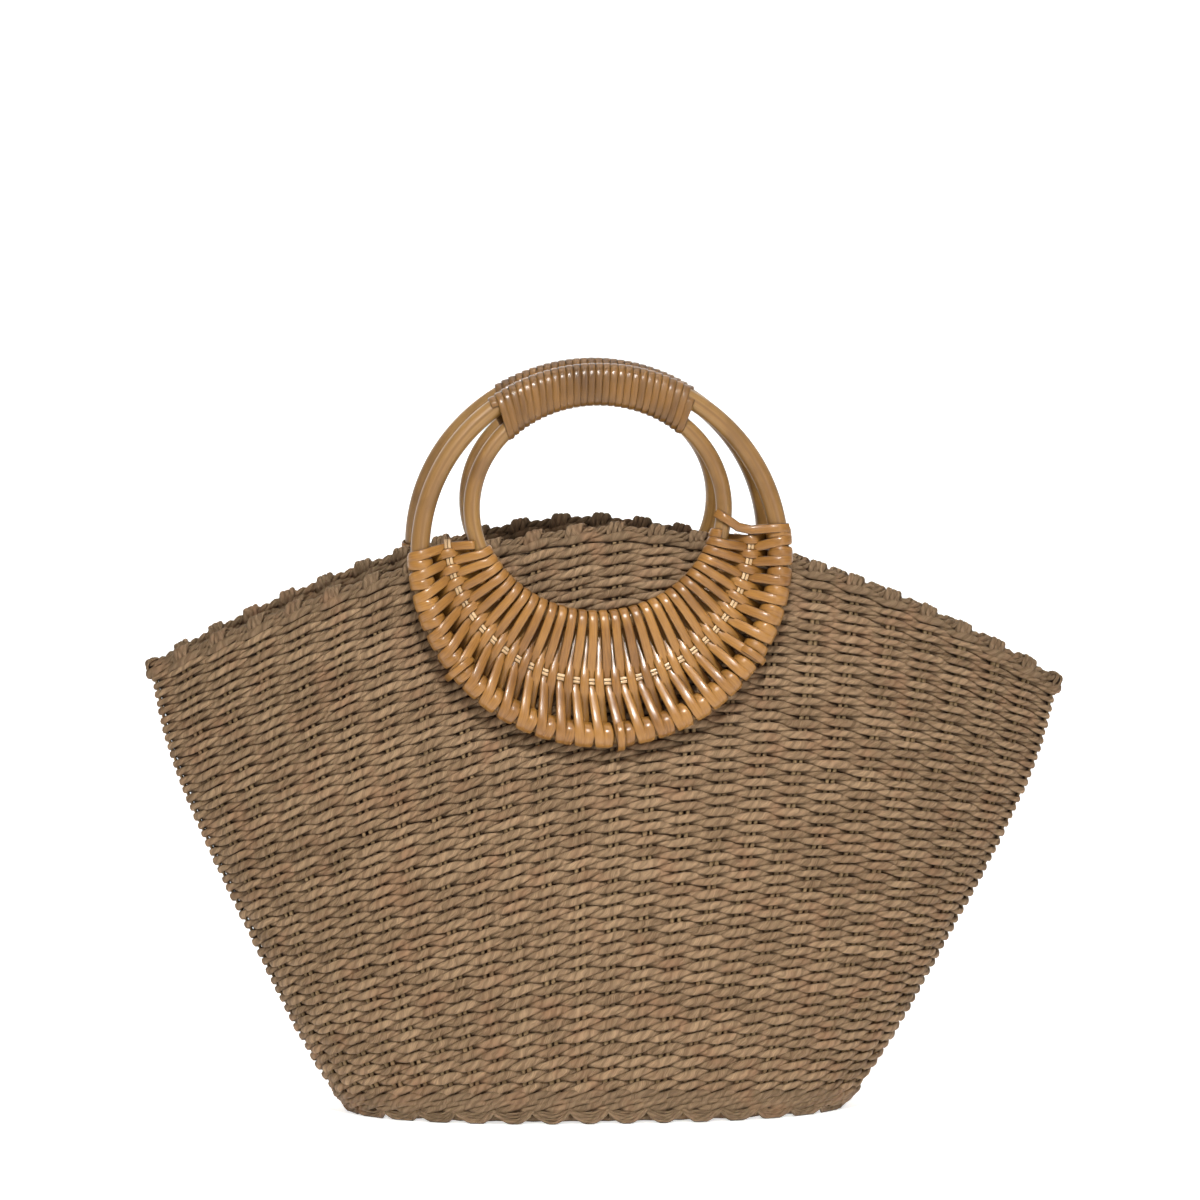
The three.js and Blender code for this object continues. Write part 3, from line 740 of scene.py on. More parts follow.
@dataclass
class TwinedWall:
    """Rows of two-strand twining over pairs of stakes."""

    shell: BasketShell
    rows: int = 46
    low_pitch: float = 5.9 * MM
    high_pitch: float = 5.0 * MM
    bands: tuple[str, ...] = ("lower", "middle", "upper")
    half_thickness: float = 1.5 * MM
    offset: float = 1.6 * MM
    slant: float = 1.45 * MM
    height_share: float = 0.78
    inside_share: float = 1.15
    pinch: float = 0.2
    swell: float = 0.14
    jitter: float = 0.45 * MM
    steps: tuple[float, ...] = (-0.5, -0.43, -0.32, -0.13, 0.13, 0.32, 0.43)
    openwork: float = 0.3 * MM
    stake_spacing: float = 2.7 * MM
    stake_half_width: float = 1.15 * MM
    stake_bulge: float = 0.6 * MM
    stake_half_depth: float = 0.8 * MM
    stake_variation: float = 0.15
    stake_wander: float = 0.02
    stake_ends: tuple[float, float] = (0.01, 0.985)
    flatness: float = 0.8
    pinch_power: int = 3
    tone_swing: float = 0.5

    def __post_init__(self) -> None:
        """Works out the height and the pitch of each row, as shares of the wall's height."""
        pitches = mix(self.low_pitch, self.high_pitch, np.arange(self.rows) / (self.rows - 1))
        edges = np.concatenate([[0], np.cumsum(pitches)])
        bottom = self.shell.foot_share()
        top = self.shell.rim_share() - self.openwork / self.shell.rim_height
        edges = mix(bottom, top, edges / edges[-1])
        self.levels = (edges[:-1] + edges[1:]) / 2
        self.pitches = np.diff(edges)

    def _places(self) -> Array:
        """Returns the points along a row, in stakes."""
        return (np.arange(self.shell.stakes)[:, None] + np.array(self.steps)).ravel()

    def _even_noise(self, strands: Strands, size: float) -> Array:
        """Draws one random number a stake and spreads them smoothly along a row.

        Args:
            strands: Strands whose random numbers are used.
            size: Greatest distance from 0.

        Returns:
            A number for each point along the row.
        """
        drawn = strands.random.uniform(-size, size, self.shell.stakes)
        places = self._places()
        left = np.floor(places).astype(int)
        share = smooth(places - left)
        stakes = self.shell.stakes
        return mix(drawn[left % stakes], drawn[(left + 1) % stakes], share)

    def weft(self, strands: Strands, row: int) -> None:
        """Adds the two strands of one row.

        Args:
            strands: Strands that they join.
            row: Number of the row from the bottom.
        """
        places = self._places()
        level = self.levels[row] + self._even_noise(strands, self.jitter) / self.shell.rim_height
        beyond = self.shell.place(places, level + self.pitches[row])
        here = self.shell.place(places, level)
        heading = directions(here, True)
        gap = beyond - here
        pitch = np.linalg.norm(gap - heading * np.sum(gap * heading, -1, keepdims=True), axis=-1)
        for strand in range(2):
            phase = math.pi * (places + strand)
            turned = np.cos(phase)
            out = self.offset * np.sign(turned) * np.abs(turned) ** self.flatness
            swell = 1 + self._even_noise(strands, self.swell)
            rise = -self.slant * np.sin(phase) * pitch / self.low_pitch
            path = self.shell.place(places, level, out, rise)
            pinched = 1 - self.pinch * np.abs(np.sin(phase)) ** self.pinch_power
            share = mix(self.height_share, self.inside_share, (-turned).clip(0))
            half_height = share * pitch / 2 * pinched * swell
            strands.sweep(
                path,
                self.shell.rise(places, level),
                half_height,
                self.half_thickness * swell,
                closed=True,
                tone=0.5 + self._even_noise(strands, self.tone_swing),
                roundness=0.9,
            )

    def warp(self, strands: Strands) -> None:
        """Adds the pairs of stakes, which bulge a little between the rows."""
        top = self.levels[-1] + self.pitches[-1] / 2
        shares = np.sort(np.concatenate([self.levels, self.levels - self.pitches / 2, [top]]))
        shares = np.concatenate([self.stake_ends[:1], shares, self.stake_ends[1:]])
        bulge = np.zeros(len(shares))
        bulge[1:-1:2] = self.stake_bulge
        spread = self.stake_spacing / 2
        for stake in range(self.shell.stakes):
            for side in (-1, 1):
                ahead = self.shell.place(stake + 0.5, shares)
                behind = self.shell.place(stake - 0.5, shares)
                width = np.linalg.norm(ahead - behind, axis=-1)
                wander = strands.random.uniform(-self.stake_wander, self.stake_wander)
                places = stake + side * spread / width + wander
                path = self.shell.place(places, shares, bulge)
                varied = strands.random.uniform(1 - self.stake_variation, 1 + self.stake_variation)
                strands.sweep(
                    path,
                    directions(np.stack([behind, ahead], axis=-2), False)[:, 0],
                    self.stake_half_width * varied,
                    self.stake_half_depth,
                    sides=6,
                    tone=strands.random.uniform(0.2, 1.0),
                )

    def build(self) -> None:
        """Makes the rows, in bands, and the stakes."""
        edges = np.linspace(0, self.rows, len(self.bands) + 1).round().astype(int)
        for seed, (band, low, high) in enumerate(zip(self.bands, edges[:-1], edges[1:])):
            strands = Strands(seed)
            for row in range(low, high):
                self.weft(strands, row)
            strands.piece(f"twined_wall_{band}", STRAW_CORD, ("basket_wall",))
        strands = Strands(len(self.bands))
        self.warp(strands)
        strands.piece("wall_stakes", STRAW_STAKE, ("basket_wall",))


@dataclass
class WovenBase:
    """Oval bottom, twined round and round from its middle."""

    shell: BasketShell
    ring_pitch: float = 5.0 * MM
    height: float = 3.0 * MM
    half_thickness: float = 1.4 * MM
    offset: float = 1.3 * MM
    steps: int = 5
    inset: float = 4.8 * MM
    ring_fill: float = 0.42
    stake_half_width: float = 1.2 * MM
    stake_half_depth: float = 0.7 * MM
    stake_reach: float = 0.97

    def _point(self, outline: Array, share: float | Array, height: float | Array) -> Array:
        """Finds points between the base's outline and its middle line.

        Args:
            outline: Points on the outline.
            share: How far in each point is: 0 on the outline and 1 on the middle line.
            height: Height over the floor.

        Returns:
            The points.
        """
        depth = np.ptp(outline[:, 1]) / 2
        length = np.ptp(outline[:, 0]) / 2
        core = np.stack(
            [np.clip(outline[:, 0], depth - length, length - depth), np.zeros(len(outline))], axis=-1
        )
        flat = mix(outline[:, :2], core, np.broadcast_to(share, len(outline))[:, None])
        return np.column_stack([flat, np.broadcast_to(height, len(outline))])

    def build(self) -> None:
        """Makes the rings of twining and the stakes that cross them."""
        places = np.arange(self.shell.stakes * self.steps) / self.steps
        outline = self.shell.place(places, 0.0, -self.inset)
        depth = np.ptp(outline[:, 1]) / 2
        rings = int(depth / self.ring_pitch)
        strands = Strands(11)
        upright = np.array([0.0, 0.0, 1.0])
        for ring in range(rings):
            share = (ring + 0.5) / rings
            for strand in range(2):
                phase = math.pi * (places + strand)
                path = self._point(outline, share, self.height + self.offset * np.cos(phase))
                strands.sweep(
                    path,
                    np.cross(directions(path, True), upright),
                    self.ring_fill * self.ring_pitch,
                    self.half_thickness,
                    sides=6,
                    closed=True,
                    tone=strands.random.uniform(0.1, 0.9),
                )
        shares = np.linspace(0, self.stake_reach, 2 * rings)
        for stake in range(self.shell.stakes):
            edge = outline[stake * self.steps]
            line = np.stack([self._point(np.vstack([outline, edge]), s, self.height)[-1] for s in shares])
            wide = np.cross(directions(line, False), upright)
            strands.sweep(line, wide, self.stake_half_width, self.stake_half_depth, sides=6)
        strands.piece("twined_base", STRAW_CORD, ("basket_base",))


@dataclass
class FootBorder:
    """Thick waled border round the foot, on a scalloped edge of turned stakes."""

    shell: BasketShell
    cord_half: float = 1.75 * MM
    cord_levels: tuple[float, ...] = (12.6 * MM, 9.2 * MM)
    cord_climb: float = 1.9 * MM
    cord_out: float = 2.4 * MM
    cord_snap: float = 2.2
    cord_bias: float = 0.45
    cord_depth_share: float = 0.9
    scallops: int = 32
    scallop_half: float = 0.85 * MM
    scallop_strands: int = 4
    scallop_spacing: float = 1.45 * MM
    scallop_top: float = 8.4 * MM
    scallop_low: float = 1.0 * MM
    scallop_out: float = 3.4 * MM
    scallop_power: float = 1.9
    scallop_overlap: float = 0.06
    scallop_steps: int = 15
    scallop_layer: float = 0.5 * MM
    scallop_variation: float = 0.15
    floor_gap: float = 0.25 * MM
    filling_levels: tuple[float, ...] = (2.8 * MM, 6.6 * MM, 10.6 * MM)
    filling_half_height: float = 1.9 * MM
    filling_half_depth: float = 1.7 * MM
    filling_inset: float = 1.4 * MM
    filling_swing: float = 0.8 * MM
    filling_steps: int = 4
    steps: int = 8

    def wale(self, strands: Strands, level: float, shift: float) -> None:
        """Adds one row of three cords, each passing outside two stakes and inside one.

        Args:
            strands: Strands that they join.
            level: Height of the row's middle.
            shift: How far the row is turned, in stakes.
        """
        places = np.arange(self.shell.stakes * self.steps) / self.steps
        for strand in range(3):
            turn = ((places + strand + shift) % 3) / 3
            outside = np.cos(math.tau * (turn - 1 / 3))
            out = self.cord_out * np.tanh(self.cord_snap * (outside + self.cord_bias))
            rise = -self.cord_climb * np.sin(math.tau * (turn - 1 / 3))
            share = (level + rise) / self.shell.rim_height
            strands.sweep(
                self.shell.place(places, share, out),
                self.shell.rise(places, share),
                self.cord_half,
                self.cord_half * self.cord_depth_share,
                closed=True,
                tone=strands.random.uniform(0.3, 0.8),
            )

    def scallop(self, strands: Strands, number: int) -> None:
        """Adds one bundle of thin strands that hangs down to the floor in a round U.

        Args:
            strands: Strands that they join.
            number: Number of the bundle round the foot.
        """
        swing = np.linspace(-self.scallop_overlap, 1 + self.scallop_overlap, self.scallop_steps)
        sag = (1 - np.abs(2 * swing - 1) ** self.scallop_power).clip(0)
        places = (number + swing) * self.shell.stakes / self.scallops
        for strand in range(self.scallop_strands):
            varied = strands.random.uniform(1 - self.scallop_variation, 1 + self.scallop_variation)
            half = self.scallop_half * varied
            low = self.scallop_low + self.scallop_spacing * strand
            high = self.scallop_top - self.scallop_layer * (self.scallop_strands - strand)
            level = mix(high, low, sag) / self.shell.rim_height
            out = self.scallop_out - self.scallop_layer * strand + self.scallop_layer * sag
            path = self.shell.place(places, level, out)
            path[:, 2] = np.maximum(path[:, 2], self.floor_gap + half)
            strands.sweep(
                path,
                self.shell.rise(places, level),
                half,
                half,
                sides=6,
                tone=strands.random.uniform(0.2, 1.0),
            )

    def inside(self, strands: Strands) -> None:
        """Adds the cords that fill the foot behind the border."""
        places = np.arange(self.shell.stakes * self.filling_steps) / self.filling_steps
        for height in self.filling_levels:
            share = height / self.shell.rim_height
            out = self.filling_swing * np.cos(math.tau * places) - self.filling_inset
            strands.sweep(
                self.shell.place(places, share, out),
                self.shell.rise(places, share),
                self.filling_half_height,
                self.filling_half_depth,
                closed=True,
                tone=0.3,
            )

    def build(self) -> None:
        """Makes the border."""
        strands = Strands(12)
        for number, level in enumerate(self.cord_levels):
            self.wale(strands, level, number * 1.5)
        for number in range(self.scallops):
            self.scallop(strands, number)
        self.inside(strands)
        strands.piece("foot_braid", SHADED_BORDER_CORD, ("foot_border",))


@dataclass
class RimBorder:
    """Edge of the mouth: a last row, a thin rope along the top and a knot over it at each stake."""

    shell: BasketShell
    row_drop: float = 6.6 * MM
    row_half_height: float = 2.4 * MM
    row_half_thickness: float = 1.6 * MM
    row_offset: float = 1.6 * MM
    row_slant: float = 1.0 * MM
    row_pinch: float = 0.45
    row_pinch_power: int = 3
    ply_half: float = 1.25 * MM
    rope_radius: float = 0.95 * MM
    rope_drop: float = 2.9 * MM
    rope_sag: float = 0.9 * MM
    knot_lanes: tuple[float, ...] = (-0.13, -0.01, 0.12)
    knot_half_width: float = 1.45 * MM
    knot_half_depth: float = 0.8 * MM
    knot_reach: float = 2.5 * MM
    knot_tail: float = 3.6 * MM
    knot_slant: float = 0.22
    knot_bend: tuple[float, float, int] = (-20.0, 200.0, 10)
    knot_tuck: float = 0.7
    knot_jitter: float = 0.2
    rope_twists: int = 4
    steps: int = 12

    def row(self, strands: Strands) -> None:
        """Adds the last row of twining, just under the rope."""
        places = np.arange(self.shell.stakes * self.steps) / self.steps
        for strand in range(2):
            phase = math.pi * (places + strand)
            out = self.row_offset * np.cos(phase)
            rise = -self.row_drop - self.row_slant * np.sin(phase)
            strands.sweep(
                self.shell.place(places, 1.0, out, rise),
                self.shell.rise(places, 1.0),
                self.row_half_height * (1 - self.row_pinch * np.abs(np.sin(phase)) ** self.row_pinch_power),
                self.row_half_thickness,
                closed=True,
                tone=strands.random.uniform(0.3, 0.7),
            )

    def rope(self, strands: Strands) -> None:
        """Adds the two plies twisted together along the rim, which sag between the knots."""
        places = np.arange(self.shell.stakes * self.steps) / self.steps
        sag = self.rope_sag * np.sin(math.pi * places) ** 2
        for strand in range(2):
            phase = math.pi * (self.rope_twists * places + strand)
            out = self.rope_radius * np.cos(phase)
            rise = -self.rope_drop - sag - self.rope_radius * np.sin(phase)
            strands.sweep(
                self.shell.place(places, 1.0, out, rise),
                self.shell.rise(places, 1.0),
                self.ply_half,
                self.ply_half,
                sides=6,
                closed=True,
                tone=strands.random.uniform(0.3, 0.7),
            )

    def knots(self, strands: Strands) -> None:
        """Adds the strands of each stake that bend over the rope and back down on the inside."""
        angle = np.radians(np.linspace(*self.knot_bend))
        turn = np.linspace(0, 1, len(angle) + 2)
        out = np.concatenate(
            [[self.knot_tuck], np.cos(angle), [-self.knot_tuck]]
        )
        out = out * self.knot_reach
        over = self.knot_reach * np.sin(angle)
        rise = np.concatenate([[-self.knot_tail], over, [-self.knot_tail]]) - self.rope_drop
        for stake in range(self.shell.stakes):
            wide = directions(self.shell.place(np.array([stake - 0.4, stake + 0.4]), 1.0), False)
            for lane in self.knot_lanes:
                places = stake + lane + self.knot_slant * (0.5 - turn)
                height = rise + strands.random.uniform(-self.knot_jitter, self.knot_jitter) * MM
                strands.sweep(
                    self.shell.place(places, 1.0, out, height),
                    wide[0],
                    self.knot_half_width * strands.random.uniform(0.85, 1.1),
                    self.knot_half_depth,
                    sides=6,
                    tone=strands.random.uniform(0.3, 1.0),
                )

    def build(self) -> None:
        """Makes the border."""
        strands = Strands(13)
        self.row(strands)
        self.rope(strands)
        self.knots(strands)
        strands.piece("rim_roll", SHADED_BORDER_CORD, ("rim_border",))


@dataclass
class RingHandle:
    """Round handle: two cane rings, bound together at the grip and joined by woven peel below.

    Its own frame has x to the right and y up in the plane of the rings, and z towards someone
    who faces that panel. Turns go round a ring from its lowest point, to the right first.
    """

    name: str
    roll: float
    about: float
    seed: int
    lean: float = 8.0
    outer_radius: float = 82 * MM
    outer_cane: float = 4.25 * MM
    inner_half_width: float = 57.5 * MM
    inner_half_height: float = 51.5 * MM
    inner_raise: float = 21 * MM
    inner_cane: float = 3.75 * MM
    cycles: int = 30
    crescent_outer_span: float = 95.0
    crescent_inner_span: float = 74.0
    grip_outer_span: float = 33.0
    grip_inner_span: float = 45.0
    grip_turns: int = 28
    peel_half_width: float = 2.15 * MM
    wrap_half_width: float = 2.5 * MM
    peel_half_thickness: float = 0.7 * MM
    wrap_gap: float = 0.35 * MM
    grip_half_thickness: float = 0.4 * MM
    rib_share: float = 0.53
    rib_half_thickness: float = 0.75 * MM
    rib_strip_half_width: float = 0.75 * MM
    rib_strip_spread: float = 0.78 * MM
    rib_overhang: float = 0.45
    rib_points: int = 90
    crossing: float = 0.45
    wrap_lead: float = 0.5
    return_lane: float = 0.8
    over_lane: float = 0.5
    near_lane: float = 0.78
    span_delays: tuple[float, ...] = (1.6, 0.8, 1.3, 0.7)
    arc_steps: int = 9
    span_steps: int = 7
    peel_clearance: float = 0.1 * MM
    peel_wander: float = 0.06
    grip_gap: float = 0.3 * MM
    grip_bow: float = 0.3 * MM
    grip_overlap: float = 1.03
    tie_half_width: float = 1.8 * MM
    tie_clearance: float = 2.8 * MM
    cane_steps: int = 144
    cane_sides: int = 16
    ties: tuple[int, ...] = (6, 15, 23)
    loose_end: tuple[tuple[float, float, float], ...] = (
        (53 * MM, 16.5 * MM, 3.6 * MM),
        (57.4 * MM, 13.5 * MM, 5.4 * MM),
        (63 * MM, 9.5 * MM, 3.2 * MM),
        (69 * MM, 8 * MM, 2.2 * MM),
        (76 * MM, 8 * MM, 4.6 * MM),
        (81 * MM, 8 * MM, 6 * MM),
        (86 * MM, 8 * MM, 4.4 * MM),
    )

    def __post_init__(self) -> None:
        """Takes the middle of the handle from its outer ring in the frame."""
        low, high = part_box(f"{self.name}_outer_ring")
        middle = (low + high) / 2
        turn = Matrix.Rotation(math.radians(self.about), 4, "Z")
        stand = Matrix.Rotation(math.radians(90 - self.lean), 4, "X")
        swing = Matrix.Rotation(math.radians(self.roll), 4, "Z")
        self.matrix = np.array(Matrix.Translation(middle) @ turn @ stand @ swing)

    def placed(self, local: Array) -> Array:
        """Takes points of the handle's own frame to the bag's."""
        return local @ self.matrix[:3, :3].T + self.matrix[:3, 3]

    def turned(self, local: Array) -> Array:
        """Takes directions of the handle's own frame to the bag's."""
        return local @ self.matrix[:3, :3].T

    def outer(self, turn: Array) -> tuple[Array, Array]:
        """Returns points on the outer ring's centreline and the directions out of the ring."""
        angle = np.radians(turn)
        out = np.stack([np.sin(angle), -np.cos(angle)], axis=-1)
        return out * self.outer_radius, out

    def inner(self, turn: Array) -> tuple[Array, Array]:
        """Returns points on the inner ring's centreline and the directions out of the ring."""
        angle = np.radians(turn)
        sine, cosine = np.sin(angle), np.cos(angle)
        point = np.stack(
            [self.inner_half_width * sine, self.inner_raise - self.inner_half_height * cosine], -1
        )
        out = np.stack([self.inner_half_height * sine, -self.inner_half_width * cosine], axis=-1)
        return point, unit(out)

    def crescent_rings(self, lane: Array) -> tuple[Array, Array, Array, Array]:
        """Finds the places on both rings that a lane of the weave joins.

        Args:
            lane: Lanes, from 0 at the left-hand tip to the number of cycles at the right.

        Returns:
            Points on the inner ring and their outward directions, and the same for the outer.
        """
        share = np.clip(lane / self.cycles, -0.02, 1.02)
        inner = self.inner(mix(-self.crescent_inner_span, self.crescent_inner_span, share))
        outer = self.outer(mix(-self.crescent_outer_span, self.crescent_outer_span, share))
        return (*inner, *outer)

    def rib_line(self, lane: Array) -> Array:
        """Returns points on the rib's middle line at some lanes."""
        inner, _, outer, _ = self.crescent_rings(lane)
        return mix(inner, outer, self.rib_share)

    def canes(self) -> None:
        """Makes the two rings of bare cane."""
        turns = np.linspace(0, 360, self.cane_steps, endpoint=False)
        for part, ring, radius in (
            ("outer", self.outer, self.outer_cane),
            ("inner", self.inner, self.inner_cane),
        ):
            strands = Strands(self.seed)
            point, out = ring(turns)
            ripple = 1 + 0.012 * np.sin(np.radians(turns * 7)) + 0.01 * np.cos(np.radians(turns * 3))
            path = self.placed(np.column_stack([point, np.zeros(len(turns))]))
            wide = self.turned(np.column_stack([out, np.zeros(len(turns))]))
            tone = 0.5 + 0.3 * np.sin(np.radians(turns * 5 + 40 * self.seed))
            strands.sweep(
                path,
                wide,
                radius * ripple,
                radius * ripple,
                self.cane_sides,
                closed=True,
                tone=tone,
                seam=-90,
            )
            strands.piece(
                f"{self.name}_{part}_cane", RATTAN_CANE, (f"{self.name}_{part}_ring",)
            )

    def _wrap(self, around: str, lanes: Array, angles: Array) -> tuple[Array, Array]:
        """Lays peel round a cane.

        Args:
            around: Which ring's cane, "inner" or "outer".
            lanes: Lane at each point.
            angles: Angle round the cane at each point, from its outward side to its front.

        Returns:
            Points in the handle's frame and the direction of the peel's width at each.
        """
        inner, inner_out, outer, outer_out = self.crescent_rings(lanes)
        centre, out = (inner, inner_out) if around == "inner" else (outer, outer_out)
        radius = self.inner_cane if around == "inner" else self.outer_cane
        reach = radius + self.peel_half_thickness + self.wrap_gap
        angle = np.radians(angles)
        flat = centre + out * (reach * np.cos(angle))[:, None]
        across = np.column_stack([-out[:, 1], out[:, 0], np.zeros(len(out))])
        return np.column_stack([flat, reach * np.sin(angle)]), across

    def _span(
        self, start: Array, end: Array, width: tuple[Array, Array], delay: float
    ) -> tuple[Array, Array]:
        """Carries peel from one place to another, easing from the one height to the other.

        Args:
            start: First point in the handle's frame, which isn't repeated.
            end: Last point.
            width: Directions of the peel's width at both ends.
            delay: Power that puts the change of height late, over 1, or early, under 1.

        Returns:
            Points in the handle's frame and the direction of the peel's width at each.
        """
        share = (np.arange(1, self.span_steps) / self.span_steps)[:, None]
        points = mix(start, end, share)
        points[:, 2] = mix(start[2], end[2], smooth(share[:, 0] ** delay))
        return points, unit(mix(width[0], width[1], share))

    def _cycle(self, cycle: int, wander: Array) -> tuple[Array, Array]:
        """Follows the peel through one cycle of the figure of eight.

        Args:
            cycle: Number of the cycle from the left-hand tip.
            wander: Small sideways shifts of this cycle's strands, in lanes.

        Returns:
            Points in the handle's frame and the direction of the peel's width at each.
        """
        rib_clear = self.rib_half_thickness + self.peel_half_thickness + self.peel_clearance
        start = cycle + wander[0]
        out_lane = cycle + self.crossing + wander[1]
        wrap_lane = out_lane + self.wrap_lead
        back_lane = cycle + self.return_lane + wander[2]
        over_lane = cycle + self.over_lane + wander[3]
        delays = self.span_delays
        front = self._wrap("inner", np.array([start]), np.array([90.0]))
        far_angles = np.linspace(90, -450, 3 * self.arc_steps + 1)
        far_lanes = np.interp(far_angles[::-1], [-450, -270, 90], [back_lane, wrap_lane, out_lane])
        far = self._wrap("outer", far_lanes[::-1], far_angles)
        near_angles = np.linspace(-90, -270, self.arc_steps + 1)
        near_lanes = np.linspace(cycle + self.near_lane, cycle + 1 + wander[0], self.arc_steps + 1)
        near = self._wrap("inner", near_lanes, near_angles)
        under = np.append(self.rib_line(np.array([start])), -rib_clear)
        over = np.append(self.rib_line(np.array([over_lane])), rib_clear)
        parts = [
            self._span(front[0][0], under, (front[1][0], far[1][0]), delays[0]),
            (under[None], far[1][:1]),
            self._span(under, far[0][0], (far[1][0], far[1][0]), delays[1]),
            far,
            self._span(far[0][-1], over, (far[1][-1], far[1][-1]), delays[2]),
            (over[None], far[1][-1:]),
            self._span(over, near[0][0], (far[1][-1], near[1][0]), delays[3]),
            near,
        ]
        return np.vstack([part[0] for part in parts]), np.vstack([part[1] for part in parts])

    def crescent(self) -> None:
        """Makes the peel woven round both canes and the rib, with the loose end."""
        strands = Strands(self.seed + 1)
        points, widths, tones = [], [], []
        for cycle in range(self.cycles):
            wander = strands.random.uniform(-self.peel_wander, self.peel_wander, 4)
            path, across = self._cycle(cycle, wander)
            points.append(path)
            widths.append(across)
            tones.append(np.full(len(path), strands.random.uniform(0.1, 0.9)))
        path = np.vstack(points)
        relaxed = path.copy()
        relaxed[1:-1] = (path[:-2] + 2 * path[1:-1] + path[2:]) / 4
        reach = np.linalg.norm(path[:, :2], axis=1) / self.outer_radius
        strands.sweep(
            self.placed(relaxed),
            self.turned(np.vstack(widths)),
            mix(self.peel_half_width, self.wrap_half_width, (5 * reach - 4).clip(0, 1)),
            self.peel_half_thickness,
            sides=10,
            tone=np.concatenate(tones),
            roundness=0.85,
        )
        if self.loose_end:
            strands.sweep(
                self.placed(np.array(self.loose_end)),
                self.turned(np.array([0.3, 1.0, 0.0])),
                self.peel_half_width,
                self.peel_half_thickness,
                sides=10,
                tone=0.4,
                roundness=0.85,
            )
        strands.piece(
            f"{self.name}_crescent_peel",
            RATTAN_PEEL,
            (f"{self.name}_crescent_weave",),
        )

    def rib(self) -> None:
        """Makes the two flat strips side by side that the peel crosses half-way."""
        strands = Strands(self.seed + 2)
        lanes = np.linspace(-self.rib_overhang, self.cycles + self.rib_overhang, self.rib_points)
        middle = self.rib_line(lanes)
        heading = directions(middle, False)
        side = np.column_stack([-heading[:, 1], heading[:, 0]])
        for place in (-1, 1):
            flat = middle + side * place * self.rib_strip_spread
            path = np.column_stack([flat, np.zeros(len(flat))])
            strands.sweep(
                self.placed(path),
                self.turned(np.column_stack([side, np.zeros(len(side))])),
                self.rib_strip_half_width,
                self.rib_half_thickness,
                sides=8,
                tone=0.5 + 0.3 * place,
                roundness=0.6,
            )
        strands.piece(f"{self.name}_rib_strips", RATTAN_RIB, (f"{self.name}_rib",))

    def grip(self) -> None:
        """Makes the peel wound round both canes at the top."""
        strands = Strands(self.seed + 3)
        arc, face = 7, 5
        outer_reach = self.outer_cane + self.grip_half_thickness + self.grip_gap
        inner_reach = self.inner_cane + self.grip_half_thickness + self.grip_gap
        far_angles = np.linspace(90, -90, arc)
        near_angles = np.linspace(-90, -270, arc)
        per_turn = 2 * arc + 2 * face
        turns = np.arange(self.grip_turns * per_turn + 1) / per_turn
        lane = mix(-1, 1, turns / self.grip_turns)
        inner, _ = self.inner(180 - lane * self.grip_inner_span)
        outer, _ = self.outer(180 - lane * self.grip_outer_span)
        out = unit(outer - inner)
        across = np.column_stack([-out[:, 1], out[:, 0], np.zeros(len(out))])
        part = np.arange(len(turns)) % per_turn
        points = np.zeros((len(turns), 3))
        spacing = np.linalg.norm(outer - inner, axis=-1)
        widths = np.zeros(len(turns))
        pitch_outer = math.radians(2 * self.grip_outer_span) * self.outer_radius / self.grip_turns
        pitch_inner = math.radians(2 * self.grip_inner_span) * self.inner_half_width / self.grip_turns
        for i, step in enumerate(part):
            if step < arc:
                angle = math.radians(far_angles[step])
                reach, height = spacing[i] + outer_reach * math.cos(angle), outer_reach * math.sin(angle)
            elif step < arc + face:
                share = (step - arc + 1) / (face + 1)
                reach = mix(spacing[i], 0, share)
                height = -mix(outer_reach, inner_reach, share) - self.grip_bow * math.sin(math.pi * share)
            elif step < 2 * arc + face:
                angle = math.radians(near_angles[step - arc - face])
                reach, height = inner_reach * math.cos(angle), inner_reach * math.sin(angle)
            else:
                share = (step - 2 * arc - face + 1) / (face + 1)
                reach = mix(0, spacing[i], share)
                height = mix(inner_reach, outer_reach, share) + self.grip_bow * math.sin(math.pi * share)
            flat = inner[i] + out[i] * reach
            points[i] = (*flat, height)
            widths[i] = mix(pitch_inner, pitch_outer, np.clip(reach / spacing[i], 0, 1)) / 2
        tone = strands.random.uniform(0.15, 0.85, self.grip_turns + 1)[turns.astype(int)]
        strands.sweep(
            self.placed(points),
            self.turned(across),
            widths * self.grip_overlap,
            self.grip_half_thickness,
            sides=10,
            tone=tone,
            roundness=0.8,
        )
        strands.piece(f"{self.name}_grip_peel", RATTAN_GRIP, (f"{self.name}_grip_wrap",))

    def tie(self, number: int, gap: int) -> None:
        """Makes one band of peel round the outer cane and through the wall behind it.

        Args:
            number: Number of the tie.
            gap: Gap of the weave that it passes through, counted from the left-hand tip.
        """
        node = f"{self.name}_tie_{number}"
        low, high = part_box(node)
        _, _, centre, out = self.crescent_rings(np.array([gap + 0.5]))
        reach = self.outer_cane + self.tie_clearance
        run = (high.y - low.y) / math.cos(math.radians(self.lean)) - 2 * reach
        over = np.radians(np.linspace(0, 180, self.arc_steps))
        under = np.radians(np.linspace(180, 360, self.arc_steps))
        sideways = np.concatenate([np.cos(over), np.cos(under)]) * reach
        height = np.concatenate([np.sin(over) * reach, np.sin(under) * reach - max(run, 0.0)])
        flat = centre + out * sideways[:, None]
        across = np.column_stack([-out[:, 1], out[:, 0], np.zeros(1)])
        strands = Strands(self.seed + 3 + number)
        strands.sweep(
            self.placed(np.column_stack([flat, height])),
            self.turned(across),
            self.tie_half_width,
            self.grip_half_thickness,
            sides=10,
            closed=True,
            roundness=0.8,
        )
        strands.piece(f"{self.name}_peel_tie_{number}", RATTAN_PEEL, (node,))

